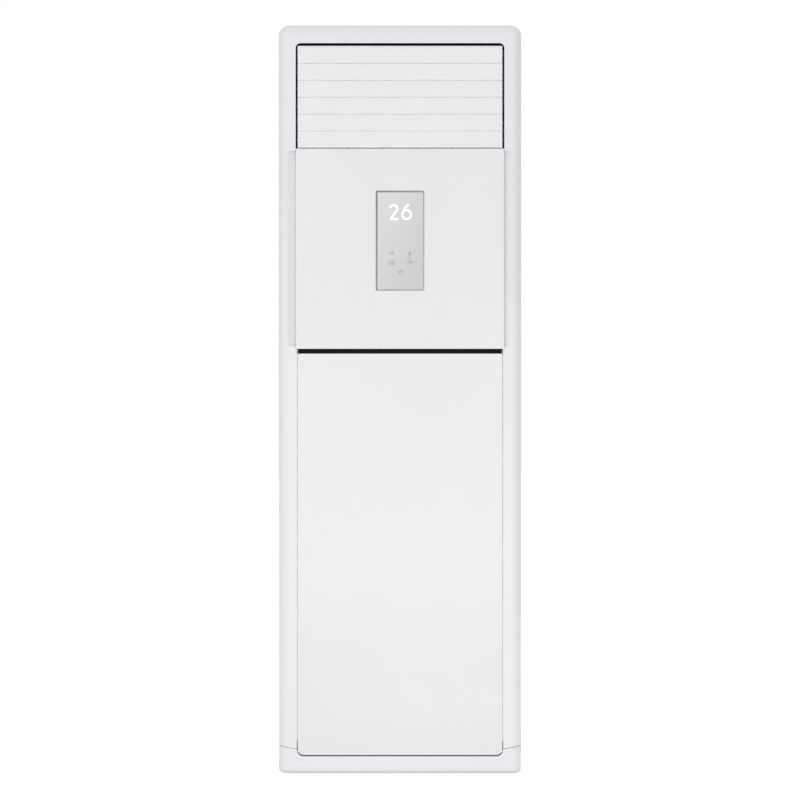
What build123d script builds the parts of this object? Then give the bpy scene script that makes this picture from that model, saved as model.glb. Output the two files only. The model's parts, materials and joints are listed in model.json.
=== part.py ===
from build123d import *
import os
from math import cos, radians, sin, sqrt

# A floor standing air conditioner. All lengths are millimetres, all angles degrees.
# X runs to the right as seen from the front, Y to the rear and Z up.
# The origin lies under the middle of the cabinet, on the floor that the feet stand on.

# ---- Cabinet, seen from the front ----
WIDTH = 600
TOP_BAND = 46.4             # frame above the outlet window
RAIL_WIDTH = 42.5         # frame beside the middle panel and the louvres
DOOR_RAIL = 45.5          # frame beside the door
TOP_RADIUS = 26           # outer top corners
SIDE_ROUND = 24           # round of the frame's front edges
BOTTOM_ROUND = 11         # round of the plinth's bottom edge
PLINTH_BOTTOM = 2         # gap between the plinth and the floor
LEDGE_TOP = 43.5          # plinth ledge below the door
DOOR_GAP_BELOW = 3.5
DOOR_HEIGHT = 990.3
DOOR_SIDE_GAP = 2
DOOR_RADIUS = 15          # lower corners of the door
SLOT_HEIGHT = 11.8        # finger slot between the door and the middle panel
MIDDLE_HEIGHT = 494.3     # middle panel
PANEL_CLEARANCE = 0.5     # between the middle panel and the rails
LOUVRE_COUNT = 6
LOUVRE_PITCH = 41.8
LOUVRE_STACK_GAP = 1.5    # between the middle panel and the lowest louvre's space
TOP_SHADOW_GAP = 7.9      # between the top louvre's space and the frame
WINDOW_RADIUS = 12        # upper corners of the outlet window
PARTING_GAP = 1.2         # seam between the frame's rails and the plinth
PARTING_HEIGHT = 61.4     # seam's height at the door opening
PARTING_RISE = 7.5        # its rise towards the cabinet's side
EDGE_ROUND = 0.8          # small rounds along seams and on panel edges
DOOR_EDGE_ROUND = 1.2
COVER_ROUND = 2.4         # rear edge of the top cover
SHEET_FOLD = 1            # outer round of the side panels' folds

# ---- Cabinet, seen from the side ----
DEPTH = 390
PANEL_PROUD = 2           # door and middle panel stand before the frame
FRAME_DEPTH = 60          # moulded front frame, from its face to its back edge
PANEL_DEPTH = 20          # door and middle panel, with their returns
JAMB_DEPTH = 28           # inner flanges of the frame's rails
RIB_HEIGHT = 1.8          # stiffening ribs and screw heads on the rear panel

# ---- Walls and sheets ----
WALL = 3                  # moulded walls
SHEET = 1.2               # folded steel sheets
PAN_SHEET = 2             # base pan
HEM = 12                  # folded edges of the side panels

# ---- Scoops in the rails beside the middle panel ----
SCOOP_WIDTH = 20.5
SCOOP_DEPTH = 10
SCOOP_END = 6             # from the middle panel's ends to the scoop's ends
SCOOP_CORNER = 12
DIMPLE_RADIUS = 60
DIMPLE_DEPTH = 1.2
DIMPLE_X = 246.5
DIMPLE_Z = 28
SCOOP_BULGE = 0.58        # how far the scoop's middle lies in, as a share of its depth

# ---- Display in the middle panel ----
WINDOW_WIDTH = 120
WINDOW_HEIGHT = 247.1
WINDOW_BOTTOM = 143.4     # from the middle panel's lower edge
WINDOW_CORNER = 3
WINDOW_PLATE = 1.5
WINDOW_FIT = 0.4          # gap around the display window
LEDGE_WIDTH = 3
BOARD_THICKNESS = 1.6
BOARD_STANDOFF = 8
LED_WIDTH = 72
LED_HEIGHT = 52
LED_RISE = 192            # middle of the lit digits above the window's lower edge
TOUCH_SPRING_RADIUS = 6
TOUCH_PLACES = ((-22, 92), (24, 85), (-22, 67), (24, 68), (2, 43))   # from the window's lower edge

# ---- Feet and base ----
FOOT_HEIGHT = 8
FOOT_RADIUS = 22
FOOT_SCREW_RADIUS = 5
FOOT_SCREW_STAND = 6      # foot screws above the pan's floor
FOOT_CHAMFER = 1.5
FOOT_X = 250
FOOT_FRONT = -108
FOOT_REAR = 150
PAN_HEIGHT = 40
PAN_BEND = 6              # outer bend of the base pan's sides
PAN_FRONT = -160
ANCHOR_RADIUS = 5.5       # floor anchor holes
ANCHOR_X = 200
ANCHOR_FRONT = -90
ANCHOR_REAR = 150
HOLE_CLEARANCE = 0.1      # round a fastener or a pin
SOLID_GAP = 0.02          # between neighbouring solids of one sub-part

# ---- Door hinge and catches ----
HINGE_PIN_RADIUS = 3
HINGE_PIN_LENGTH = 20
PIN_CHAMFER = 0.5
HINGE_SET = 7             # hinge axis behind the door's face
HINGE_RISE = 8            # hinge axis above the door's lower edge
EAR_WIDTH = 10
EAR_DEPTH = 17
CATCH_X = 200
CATCH_WIDTH = 24
CATCH_HEIGHT = 14
CATCH_DROP = 18           # catches below the door's upper edge
STRIKE_THICKNESS = 1.7
STRIKE_BOSS = 12
CATCH_GAP = 0.3
BAR_PLATE = 3             # cross plate of the frame behind the finger slot
BAR_SET = 23              # cross plate's front, behind the door's face
BAR_ABOVE = 24            # cross plate beyond the door's upper edge
BAR_BELOW = 30
DOOR_RIB_PITCH = 180
DOOR_RIB_DEPTH = 10
TRIM_LIP = 12

SEAL_RISE = 35            # seals' lower ends above the door's lower edge
SEAL_DROP = 2             # their upper ends below its upper edge
SEAL_SET = 1              # seals behind the frame's face
SEAL_DEPTH = 8
SEAL_GAP = 0.4            # between a seal and the door's side

# ---- Louvres: blades that turn about level pins ----
BLADE_GAP = 1
BLADE_THICKNESS = 3
BLADE_FACE_SET = 3        # blade faces behind the frame's face
BLADE_PIN_SET = 8         # pins behind the blade's face
BLADE_END_GAP = 5         # between a blade's end and the window's side
BLADE_LIP = 2.2           # lip that closes the joint above
BLADE_LIP_THICKNESS = 1.2
BLADE_REBATE = 1.5
BLADE_SPINE = 4
LOUVRE_PIN_RADIUS = 3
LOUVRE_COLLAR_RADIUS = 4.5
PIN_CLEARANCE = 0.1
LOUVRE_CRANK = 14
LOUVRE_CRANK_ANGLE = 50   # above the level line to the rear, louvres closed
CRANK_PIN_RADIUS = 2
LINK_HALF_WIDTH = 3.5
LINK_ROUND = 3
LINK_THICKNESS = 3
LINK_PLAY = 0.3
LINK_SET = 1.5            # link's outer face inside the duct's cheek
CRANK_COLLAR_RADIUS = 3.4
EAR_THICKNESS = 3
CHEEK_SET = 5             # duct cheeks beyond the window's sides

# ---- Outlet duct and its upright vanes ----
DUCT_DEPTH = 150
DUCT_ABOVE = 3            # duct's inside above the window
VANE_COUNT = 6
VANE_PITCH = 86
VANE_SET = 73             # vane pins behind the frame's face
VANE_FRONT = 33
VANE_REAR = 22
VANE_THICKNESS = 2.5
VANE_END_GAP = 2
VANE_PIN_RADIUS = 2.5
VANE_CORNER = 14
VANE_EDGE_ROUND = 0.9
VANE_CRANK = 28
VANE_LUG = 3
VANE_CRANK_PIN_RADIUS = 1.5
VANE_LINK_THICKNESS = 4
MOTOR_BORE_DEPTH = 8
STEPPER_RADIUS = 14
STEPPER_LENGTH = 19
STEPPER_OFFSET = 9
STEPPER_EAR = 21
STEPPER_EAR_RADIUS = 4
STEPPER_EAR_SHEET = 1
STEPPER_ROUND = 1.5
STEPPER_PLUG_DEPTH = 7
STEPPER_PLUG_WIDTH = 16

# ---- Fan ----
FAN_Z = 480
FAN_FRONT = -120          # scroll's front plate
WHEEL_RADIUS = 180
WHEEL_INNER_RADIUS = 150
WHEEL_LENGTH = 150
WHEEL_SET = 15            # wheel behind the scroll's front plate
WHEEL_DISC = 3
WHEEL_RING = 12
BLADE_COUNT = 40
WHEEL_BLADE = 1.2
BLADE_BOW = 0.12          # rise of a blade's middle, as a share of its chord
BLADE_LEAN = 0.5          # rise of its tip
BLADE_TIP_SET = 1         # tip within the wheel's edge
HUB_RADIUS = 26
HUB_LENGTH = 45
SHAFT_RADIUS = 8
SHAFT_FIT = 0.08
SHAFT_NOSE = 22           # shaft before the hub
NUT_ACROSS = 27
NUT_THICKNESS = 12
SHAFT_CHAMFER = 1
INLET_RADIUS = 146
INLET_ROUND = 8
SCROLL_DEPTH = 180
SPIRAL_START = 208
SPIRAL_STEP = 22
SCROLL_SHEET = 2
NECK_RIGHT = -40
TONGUE_RADIUS = 15
DECK_Z = 866
PLATE_TOP = 1040          # front plate above the deck carries the control box
PLATE_HALF = 268
MOTOR_RADIUS = 62
MOTOR_LENGTH = 80
MOTOR_CAP_RADIUS = 46
MOTOR_CAP = 8
MOTOR_PLATE = 3
MOTOR_PLATE_HALF = 95
MOTOR_BOLT = 72
MOTOR_PLATE_CORNER = 12
BOLT_ACROSS = 10
BOLT_HEAD = 5
MOTOR_GROOVES = 4
MOTOR_GROOVE_WIDTH = 4
MOTOR_GROOVE_DEPTH = 2
MOTOR_ROUND = 6
MOTOR_CAP_ROUND = 4
LEG_WIDTH = 30            # legs behind the scroll
LEG_X = 140               # their outer sides
LEG_FOOT = 20
LEG_SHEET = 2

# ---- Filter and intake grille ----
GRILLE_HALF = 235
GRILLE_BOTTOM = 250
GRILLE_TOP = 756
GRILLE_DEPTH = 26         # filter's back before the scroll's front plate
GRILLE_THICKNESS = 6
HOLDER_WALL = 3
GRILLE_BARS = 11
GRILLE_BAR = 3
FILTER_DEPTH = 6
FILTER_RIM = 9
FILTER_BARS = 5
FILTER_BAR = 3
MESH_THICKNESS = 0.8
INTAKE_ROWS = 37
INTAKE_PITCH = 14
INTAKE_BOTTOM = 240
INTAKE_LENGTH = 32
INTAKE_WIDTH = 6
INTAKE_COLUMNS = 2
INTAKE_COLUMN_PITCH = 42
INTAKE_SET = 30           # first column behind the frame's back edge

# ---- Cooling coil ----
COIL_WIDTH = 500
COIL_DEPTH = 50
COIL_LENGTH = 640
COIL_LEAN = 24.25
COIL_FOOT_Y = 140
COIL_FOOT_RISE = 24       # coil's foot above the deck
FIN_COUNT = 56
FIN_THICKNESS = 1.4
THREADED_TUBES = 4        # in each row
COIL_PLATE = 1.5
COIL_PLATE_DEPTH = 60
TUBE_RADIUS = 4.8
TUBE_PITCH = 25.4
TUBE_ROW = 12.7
BEND_COUNT = 12
BEND_STUB = 4
PAN_LENGTH_HALF = 278
PAN_DEPTH = 102
PAN_WALL_HEIGHT = 36
SPOUT_X = 240
SPOUT_RADIUS = 7
SPOUT_LENGTH = 16
HOSE_WALL = 2
HOSE_END_Z = 170
GAS_PIPE_RADIUS = 7.9
LIQUID_PIPE_RADIUS = 4.8
PIPE_X = 278
PIPE_BEND = 20
GAS_TUBE = 7              # coil tube that each pipe joins
LIQUID_TUBE = 10
PIPE_END_Z = 200
GAS_NUT_ACROSS = 27
GAS_PORT_RADIUS = 11      # threads below the pipe ends
LIQUID_NUT_ACROSS = 22
LIQUID_PORT_RADIUS = 7.9
NUT_LENGTH = 24
NUT_CHAMFER = 1
PORT_LENGTH = 14
PIPE_HOLE_X = 215
PIPE_HOLE_Z = 150
PIPE_HOLE_RADIUS = 36
GROMMET_RADIUS = 31
GROMMET_FLANGE = 42
LINER_THICKNESS = 12

# ---- Control box ----
BOX_HALF = 190
BOX_BOTTOM = 6            # above the deck
BOX_HEIGHT = 150
BOX_DEPTH = 44
BOARD_HALF = 120
BOARD_HEIGHT = 110
BOARD_POST = 20
BOARD_POST_RADIUS = 4
TERMINAL_SET = 35         # terminal block's middle inside the box's end
TERMINAL_HALF = 12
TERMINAL_DEPTH = 14
TERMINAL_WALL = 1.6
TERMINAL_WALL_RISE = 4
TERMINAL_SCREW_RADIUS = 3.5
TERMINAL_SCREW_RISE = 3
BOARD_INSET = 12          # board from the box's left wall
PART_HEIGHT = 14          # transformer and capacitor on the board
TRANSFORMER_WIDTH = 40
CAPACITOR_RADIUS = 12
CAPACITOR_X = -30
RELAY_WIDTH = 15
RELAY_HEIGHT = 20
RELAY_PITCH = 25
RELAY_COUNT = 3
PLUG_WIDTH = 80
PLUG_HEIGHT = 10
TERMINAL_COUNT = 5
TERMINAL_PITCH = 12

# ---- Rear panel ----
TOP_COVER_HEIGHT = 60
REAR_RIB_LENGTH = 420
REAR_RIB_WIDTH = 16
REAR_RIB_PITCH = 170
REAR_RIB_START = 320
REAR_RIB_COUNT = 8
SCREW_HEAD_RADIUS = 4.5
SCREW_CROSS = 5           # cross recess: its length, width and depth
SCREW_CROSS_WIDTH = 0.9
SCREW_CROSS_DEPTH = 0.6
SCREW_RADIUS = 2
SCREW_LENGTH = 8
SCREW_ROWS = 6
SCREW_START = 60
BRACKET_HALF = 60
BRACKET_HEIGHT = 40
BRACKET_DROP = 50         # below the top cover's edge
BRACKET_CORNER = 6
BRACKET_HOLE_X = 40
BRACKET_HOLE_RADIUS = 3.25

# ---- Places that follow from the sizes above ----
HALF = WIDTH / 2
DOOR_HALF = HALF - DOOR_RAIL - DOOR_SIDE_GAP
DOOR_OPENING_HALF = HALF - DOOR_RAIL
WINDOW_HALF = HALF - RAIL_WIDTH
DOOR_BOTTOM = LEDGE_TOP + DOOR_GAP_BELOW
DOOR_TOP = DOOR_BOTTOM + DOOR_HEIGHT
MIDDLE_BOTTOM = DOOR_TOP + SLOT_HEIGHT
MIDDLE_TOP = MIDDLE_BOTTOM + MIDDLE_HEIGHT
LOUVRE_BOTTOM = MIDDLE_TOP + LOUVRE_STACK_GAP
WINDOW_TOP = LOUVRE_BOTTOM + LOUVRE_COUNT * LOUVRE_PITCH + TOP_SHADOW_GAP
HEIGHT = WINDOW_TOP + TOP_BAND

FRONT_Y = -DEPTH / 2
FRAME_Y = FRONT_Y + PANEL_PROUD
FRAME_INNER_Y = FRAME_Y + WALL
FRAME_BACK = FRAME_Y + FRAME_DEPTH
REAR_Y = DEPTH / 2
REAR_SKIN = REAR_Y - RIB_HEIGHT
REAR_INNER = REAR_SKIN - SHEET
SIDE_INNER = HALF - SHEET
SHELL_INNER = HALF - WALL
COVER_BOTTOM = HEIGHT - TOP_COVER_HEIGHT

PAN_Z = FOOT_HEIGHT
PAN_FLOOR = PAN_Z + PAN_SHEET
SHELF_FRONT = FAN_FRONT + SHEET      # back of the scroll's front plate
DECK_TOP = DECK_Z + SHEET
COIL_FOOT_Z = DECK_TOP + COIL_FOOT_RISE
SCROLL_BACK = FAN_FRONT + SCROLL_DEPTH

CHEEK = WINDOW_HALF + CHEEK_SET      # inside of the duct's cheeks
CHEEK_OUT = CHEEK + WALL
DUCT_BOTTOM = MIDDLE_TOP - WALL
DUCT_TOP = WINDOW_TOP + DUCT_ABOVE
BLADE_HALF = WINDOW_HALF - BLADE_END_GAP
BLADE_FACE = FRAME_Y + BLADE_FACE_SET
LOUVRE_Y = BLADE_FACE + BLADE_PIN_SET
VANE_Y = FRAME_Y + VANE_SET
VANE_LINK_Z = (DUCT_BOTTOM + DUCT_TOP) / 2
HINGE_Y = FRONT_Y + HINGE_SET
HINGE_Z = DOOR_BOTTOM + HINGE_RISE
BAR_FRONT = FRONT_Y + BAR_SET
GRILLE_FRONT = FAN_FRONT - GRILLE_DEPTH
CRANK_Y = LOUVRE_CRANK * cos(radians(LOUVRE_CRANK_ANGLE))
CRANK_Z = LOUVRE_CRANK * sin(radians(LOUVRE_CRANK_ANGLE))


# ---- Drawing helpers ----
def box(x0, x1, y0, y1, z0, z1):
    """A block between two corners."""
    return Pos((x0 + x1) / 2, (y0 + y1) / 2, (z0 + z1) / 2) * Box(x1 - x0, y1 - y0, z1 - z0)


def rect(a0, a1, b0, b1):
    """A rectangle between two corners, in a sketch."""
    return Pos((a0 + a1) / 2, (b0 + b1) / 2) * Rectangle(a1 - a0, b1 - b0)


def along_x(sketch, x0, x1):
    """A sketch drawn in Y and Z, made solid from x0 to x1."""
    return extrude(Plane(origin=(x0, 0, 0), x_dir=(0, 1, 0), z_dir=(1, 0, 0)) * sketch, x1 - x0)


def along_y(sketch, y0, y1):
    """A sketch drawn in X and Z, made solid from y0 to y1."""
    return extrude(Plane(origin=(0, y1, 0), x_dir=(1, 0, 0), z_dir=(0, -1, 0)) * sketch, y1 - y0)


def along_z(sketch, z0, z1):
    """A sketch drawn in X and Y, made solid from z0 to z1."""
    return extrude(Pos(0, 0, z0) * sketch, z1 - z0)


def rod_x(radius, x0, x1, y, z):
    """A round rod along X."""
    return along_x(Pos(y, z) * Circle(radius), x0, x1)


def rod_y(radius, y0, y1, x, z):
    """A round rod along Y."""
    return along_y(Pos(x, z) * Circle(radius), y0, y1)


def rod_z(radius, z0, z1, x, y):
    """A round rod along Z."""
    return along_z(Pos(x, y) * Circle(radius), z0, z1)


def group(*shapes):
    """Separate solids joined in one sub-part."""
    return Compound([solid for shape in shapes for solid in shape.solids()])


def mirrored(shape):
    """The same shape on the cabinet's other side."""
    return mirror(shape, about=Plane.YZ)


def pair(shape):
    """A shape and its mirror image, as one group."""
    return [shape, mirrored(shape)]


def hexagon(across):
    """A hexagon, by its width across flats."""
    return RegularPolygon(across / sqrt(3), 6)


# ---- Front frame and plinth: one rounded shell, parted by a slanted seam ----
def cabinet_outline(inset, bottom):
    """The cabinet's front outline, drawn in by inset, from the height bottom up."""
    half = HALF - inset
    outline = rect(-half, half, bottom, HEIGHT - inset)
    return fillet(outline.vertices().group_by(Axis.Y)[-1], TOP_RADIUS - inset)


def front_block(inset):
    """The rounded front of the cabinet as one block, drawn in by inset on all sides but the back."""
    bottom = PLINTH_BOTTOM + inset
    spare = 2 * SIDE_ROUND
    block = along_y(cabinet_outline(inset, bottom - spare), FRAME_Y + inset, FRAME_BACK)
    face = block.faces().sort_by(Axis.Y)[0]
    rim = [edge for edge in face.edges() if edge.center().Z > bottom]
    block = fillet(rim, SIDE_ROUND - inset)
    block -= box(-WIDTH, WIDTH, -DEPTH, DEPTH, bottom - 2 * spare, bottom)
    foot = block.faces().sort_by(Axis.Z)[0]
    toe = [edge for edge in foot.edges() if edge.center().Y < FRAME_BACK - WALL]
    block = fillet(toe, BOTTOM_ROUND - inset)
    if inset:
        return block
    seam = [edge for edge in block.faces().sort_by(Axis.Y)[-1].edges() if edge.center().Z > bottom]
    return chamfer(seam, EDGE_ROUND)


def door_opening(margin):
    """The opening for the door, grown by margin. It runs up to the middle panel."""
    half = DOOR_OPENING_HALF + margin
    opening = rect(-half, half, LEDGE_TOP - margin, MIDDLE_BOTTOM)
    return fillet(opening.vertices().group_by(Axis.Y)[0], DOOR_RADIUS + DOOR_SIDE_GAP + margin)


def window_opening():
    """The opening for the middle panel and the louvres above it."""
    opening = rect(-WINDOW_HALF, WINDOW_HALF, MIDDLE_BOTTOM - WALL, WINDOW_TOP)
    return fillet(opening.vertices().group_by(Axis.Y)[-1], WINDOW_RADIUS)


def scoop():
    """A scoop down the right rail: deepest at the middle panel's edge, fading out towards the side."""
    inner = WINDOW_HALF - WALL
    outer = WINDOW_HALF + SCOOP_WIDTH
    before = FRAME_Y - WALL
    deep = FRAME_Y + SCOOP_DEPTH
    middle = ((inner + outer) / 2, FRAME_Y + SCOOP_BULGE * SCOOP_DEPTH)
    section = make_face([
        ThreePointArc((outer, FRAME_Y), middle, (inner, deep)),
        Line((inner, deep), (inner, before)),
        Line((inner, before), (outer, before)),
        Line((outer, before), (outer, FRAME_Y)),
    ])
    bottom = MIDDLE_BOTTOM + SCOOP_END
    top = MIDDLE_TOP - SCOOP_END
    outline = rect(inner, outer, bottom, top)
    outline = fillet(outline.vertices().group_by(Axis.X)[-1], SCOOP_CORNER)
    return along_z(section, bottom, top) & along_y(outline, before, deep + WALL)


def front_shell():
    """Frame and plinth in one: the thin rounded shell, its openings and inner flanges."""
    shell = front_block(0) - front_block(WALL)
    shell -= along_y(door_opening(0), FRAME_Y - WALL, FRAME_BACK)
    shell -= along_y(window_opening(), FRAME_Y - WALL, FRAME_BACK)
    jamb_back = FRAME_Y + JAMB_DEPTH
    shell += along_y(door_opening(WALL) - door_opening(0), FRAME_Y, jamb_back)
    cheek_rib = box(WINDOW_HALF, WINDOW_HALF + SCOOP_WIDTH + WALL, FRAME_INNER_Y - WALL / 2,
                    FRAME_Y + SCOOP_DEPTH + WALL, MIDDLE_BOTTOM - WALL, DUCT_BOTTOM)
    cheek_jamb = box(WINDOW_HALF, WINDOW_HALF + WALL, FRAME_Y, jamb_back, MIDDLE_BOTTOM - WALL,
                     DUCT_BOTTOM - 2 * WALL)
    ear = box(DOOR_OPENING_HALF, DOOR_OPENING_HALF + EAR_WIDTH, FRAME_Y + WALL / 2, FRAME_Y + EAR_DEPTH,
              LEDGE_TOP + WALL, PARTING_HEIGHT - WALL)
    ear -= rod_x(HINGE_PIN_RADIUS, 0, HALF, HINGE_Y, HINGE_Z)
    shell += pair(cheek_rib) + pair(cheek_jamb) + pair(ear)
    shell -= pair(rod_x(HINGE_PIN_RADIUS, DOOR_OPENING_HALF - WALL, DOOR_OPENING_HALF + EAR_WIDTH,
                        HINGE_Y, HINGE_Z))
    shell -= pair(scoop())
    dimple_y = FRAME_Y - DIMPLE_RADIUS + DIMPLE_DEPTH
    shell -= pair(Pos(DIMPLE_X, dimple_y, DIMPLE_Z) * Sphere(DIMPLE_RADIUS))
    return shell


def cross_plate():
    """The plate between the frame's rails, behind the finger slot."""
    half = DOOR_OPENING_HALF - SOLID_GAP
    return box(-half, half, BAR_FRONT, BAR_FRONT + BAR_PLATE, DOOR_TOP - BAR_BELOW, DOOR_TOP + BAR_ABOVE)


def below_seam(rise):
    """Everything below the slanted seam, moved up by rise."""
    low = PARTING_HEIGHT + rise
    high = low + PARTING_RISE
    region = make_face(Polyline((-HALF, high), (-WINDOW_HALF, low), (WINDOW_HALF, low), (HALF, high),
                                (HALF, -WALL), (-HALF, -WALL), close=True))
    return along_y(region, FRONT_Y, FRAME_BACK)


# ---- Middle panel, display and finger slot ----
def display_outline(grow):
    """The display window's outline, grown by grow."""
    bottom = MIDDLE_BOTTOM + WINDOW_BOTTOM
    half = WINDOW_WIDTH / 2 + grow
    outline = rect(-half, half, bottom - grow, bottom + WINDOW_HEIGHT + grow)
    return fillet(outline.vertices(), WINDOW_CORNER)


def middle_panel():
    """The flat panel between the door and the louvres, with a seat for the display window."""
    half = WINDOW_HALF - PANEL_CLEARANCE
    back = FRONT_Y + PANEL_DEPTH
    panel = box(-half, half, FRONT_Y, back, MIDDLE_BOTTOM, MIDDLE_TOP)
    panel = fillet(panel.faces().sort_by(Axis.Y)[0].edges(), EDGE_ROUND)
    inner = FRONT_Y + WALL
    panel -= box(WALL - half, half - WALL, inner, back, MIDDLE_BOTTOM + WALL, MIDDLE_TOP - WALL)
    panel += along_y(display_outline(LEDGE_WIDTH), inner, inner + WALL)
    panel -= along_y(display_outline(0), FRONT_Y - WALL, inner)
    panel -= along_y(display_outline(-LEDGE_WIDTH), FRONT_Y, inner + WALL)
    posts = [rod_y(BOARD_POST_RADIUS, inner, inner + BOARD_STANDOFF, x, z) for x, z in display_posts()]
    return panel + posts


def display_posts():
    """The four posts that carry the display's circuit board."""
    half = WINDOW_WIDTH / 2 + 2 * LEDGE_WIDTH + BOARD_POST_RADIUS
    low = MIDDLE_BOTTOM + WINDOW_BOTTOM
    return [(x, z) for x in (-half, half) for z in (low, low + WINDOW_HEIGHT)]


def display_window():
    """The pale plate that the digits and touch glyphs show through."""
    back = FRONT_Y + WALL
    return along_y(display_outline(-WINDOW_FIT), back - WINDOW_PLATE, back)


def display_board():
    """The display's circuit board, with its digit module and five touch springs."""
    front = FRONT_Y + WALL + BOARD_STANDOFF
    half = WINDOW_WIDTH / 2 + 2 * LEDGE_WIDTH + 2 * BOARD_POST_RADIUS
    low = MIDDLE_BOTTOM + WINDOW_BOTTOM
    spare = 2 * BOARD_POST_RADIUS
    board = box(-half, half, front, front + BOARD_THICKNESS, low - spare, low + WINDOW_HEIGHT + spare)
    digit_z = low + LED_RISE
    seat = FRONT_Y + WALL
    board += box(-LED_WIDTH / 2, LED_WIDTH / 2, seat, front, digit_z - LED_HEIGHT / 2,
                 digit_z + LED_HEIGHT / 2)
    springs = [rod_y(TOUCH_SPRING_RADIUS, seat, front, x, low + z)
               for x, z in TOUCH_PLACES]
    return board + springs


def slot_trim():
    """The glossy strip at the back of the finger slot."""
    back = box(-WINDOW_HALF, WINDOW_HALF, BAR_FRONT - WALL, BAR_FRONT, DOOR_TOP - WALL, MIDDLE_BOTTOM)
    lip = box(-DOOR_OPENING_HALF, DOOR_OPENING_HALF, BAR_FRONT - TRIM_LIP, BAR_FRONT - WALL,
              MIDDLE_BOTTOM - WALL / 3, MIDDLE_BOTTOM)
    return back + lip - pair(box(WINDOW_HALF - 2 * WALL, WINDOW_HALF, FRONT_Y, 0, 0, MIDDLE_BOTTOM))


# ---- Sheet metal cabinet ----
def pan_floor(gap):
    """The base tray's floor, between its bends and its end walls, and gap within them."""
    side = SHELL_INNER - PAN_BEND - gap
    set_in = PAN_SHEET + gap
    return box(-side, side, PAN_FRONT + set_in, REAR_INNER - set_in, PAN_Z, PAN_FLOOR)


def pan_plate():
    """The base tray's floor, with holes for the feet and for floor anchors."""
    pan = pan_floor(SOLID_GAP)
    for x, y in foot_places():
        pan -= rod_z(FOOT_SCREW_RADIUS + HOLE_CLEARANCE, PAN_Z, PAN_FLOOR, x, y)
    for x in (-ANCHOR_X, ANCHOR_X):
        for y in (ANCHOR_FRONT, ANCHOR_REAR):
            pan -= rod_z(ANCHOR_RADIUS, PAN_Z, PAN_FLOOR, x, y)
    return pan


def pan_rim():
    """The base tray's upright walls, with the bends along its sides."""
    rim = box(-SHELL_INNER, SHELL_INNER, PAN_FRONT, REAR_INNER, PAN_Z, PAN_Z + PAN_HEIGHT)
    rim = fillet(rim.edges().filter_by(Axis.Y).group_by(Axis.Z)[0], PAN_BEND)
    inside = box(PAN_SHEET - SHELL_INNER, SHELL_INNER - PAN_SHEET, PAN_FRONT + PAN_SHEET,
                 REAR_INNER - PAN_SHEET, PAN_FLOOR, PAN_Z + PAN_HEIGHT)
    rim -= fillet(inside.edges().filter_by(Axis.Y).group_by(Axis.Z)[0], PAN_BEND - PAN_SHEET)
    return rim - pan_floor(0)


def base_pan():
    """The base tray: floor and upright walls."""
    return group(pan_plate(), pan_rim())


def foot_places():
    """Middles of the four feet."""
    return [(x, y) for x in (-FOOT_X, FOOT_X) for y in (FOOT_FRONT, FOOT_REAR)]


def foot_pads():
    """The pads of the four levelling feet."""
    pads = [rod_z(FOOT_RADIUS, 0, FOOT_HEIGHT, x, y) for x, y in foot_places()]
    return Compound([chamfer(pad.edges().group_by(Axis.Z)[0], FOOT_CHAMFER) for pad in pads])


def foot_screws():
    """The screws of the four levelling feet. They stand up through the pan."""
    top = PAN_FLOOR + FOOT_SCREW_STAND
    bottom = FOOT_HEIGHT + SOLID_GAP
    return Compound([rod_z(FOOT_SCREW_RADIUS, bottom, top, x, y) for x, y in foot_places()])


def levelling_feet():
    """Four feet, each a pad and a screw."""
    return group(foot_pads(), foot_screws())


def side_sheet():
    """The right side panel's sheet, with punched intake slots near the front."""
    panel = box(SIDE_INNER, HALF, FRAME_BACK, REAR_INNER, PAN_Z - SHEET, COVER_BOTTOM)
    outer = panel.faces().sort_by(Axis.X)[-1]
    panel = fillet([edge for edge in outer.edges() if edge.center().Z > PAN_Z], SHEET_FOLD)
    slot = SlotOverall(INTAKE_LENGTH, INTAKE_WIDTH)
    first = FRAME_BACK + INTAKE_SET
    slots = [Pos(first + column * INTAKE_COLUMN_PITCH, INTAKE_BOTTOM + row * INTAKE_PITCH) * slot
             for column in range(INTAKE_COLUMNS) for row in range(INTAKE_ROWS)]
    return panel - along_x(Sketch() + slots, SIDE_INNER - SHEET, HALF + SHEET)


def side_flanges():
    """The right side panel's folded edges: front, rear and top in one, and the one under the pan."""
    above_pan = PAN_Z + PAN_HEIGHT + PAN_SHEET
    hem = HALF - HEM
    outer = SIDE_INNER - SOLID_GAP
    fold = box(hem, outer, FRAME_BACK, REAR_INNER, above_pan, COVER_BOTTOM)
    fold -= box(hem, outer, FRAME_BACK + SHEET, REAR_INNER - SHEET, above_pan, COVER_BOTTOM - SHEET)
    screws = [Pos(x, z) * Circle(SCREW_RADIUS) for x, z in rear_screws()]
    fold -= along_y(Sketch() + screws, REAR_INNER - 2 * SHEET, REAR_INNER)
    return Compound([fold, box(hem, outer, FRAME_BACK, REAR_INNER, PAN_Z - SHEET, PAN_Z)])


def side_panel():
    """The right side panel: its sheet and its folded edges."""
    return group(side_sheet(), side_flanges())


def rear_screws():
    """Middles of the screws down both sides of the rear panel."""
    x = HALF - HEM / 2
    pitch = (COVER_BOTTOM - 2 * SCREW_START) / (SCREW_ROWS - 1)
    rows = [SCREW_START + row * pitch for row in range(SCREW_ROWS)]
    return [(side, z) for side in (-x, x) for z in rows]


def cover_screws():
    """Middles of the three screws in the top cover's rear wall."""
    z = COVER_BOTTOM + HEM
    return [(x, z) for x in (-HALF / 2, 0, HALF / 2)]


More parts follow.
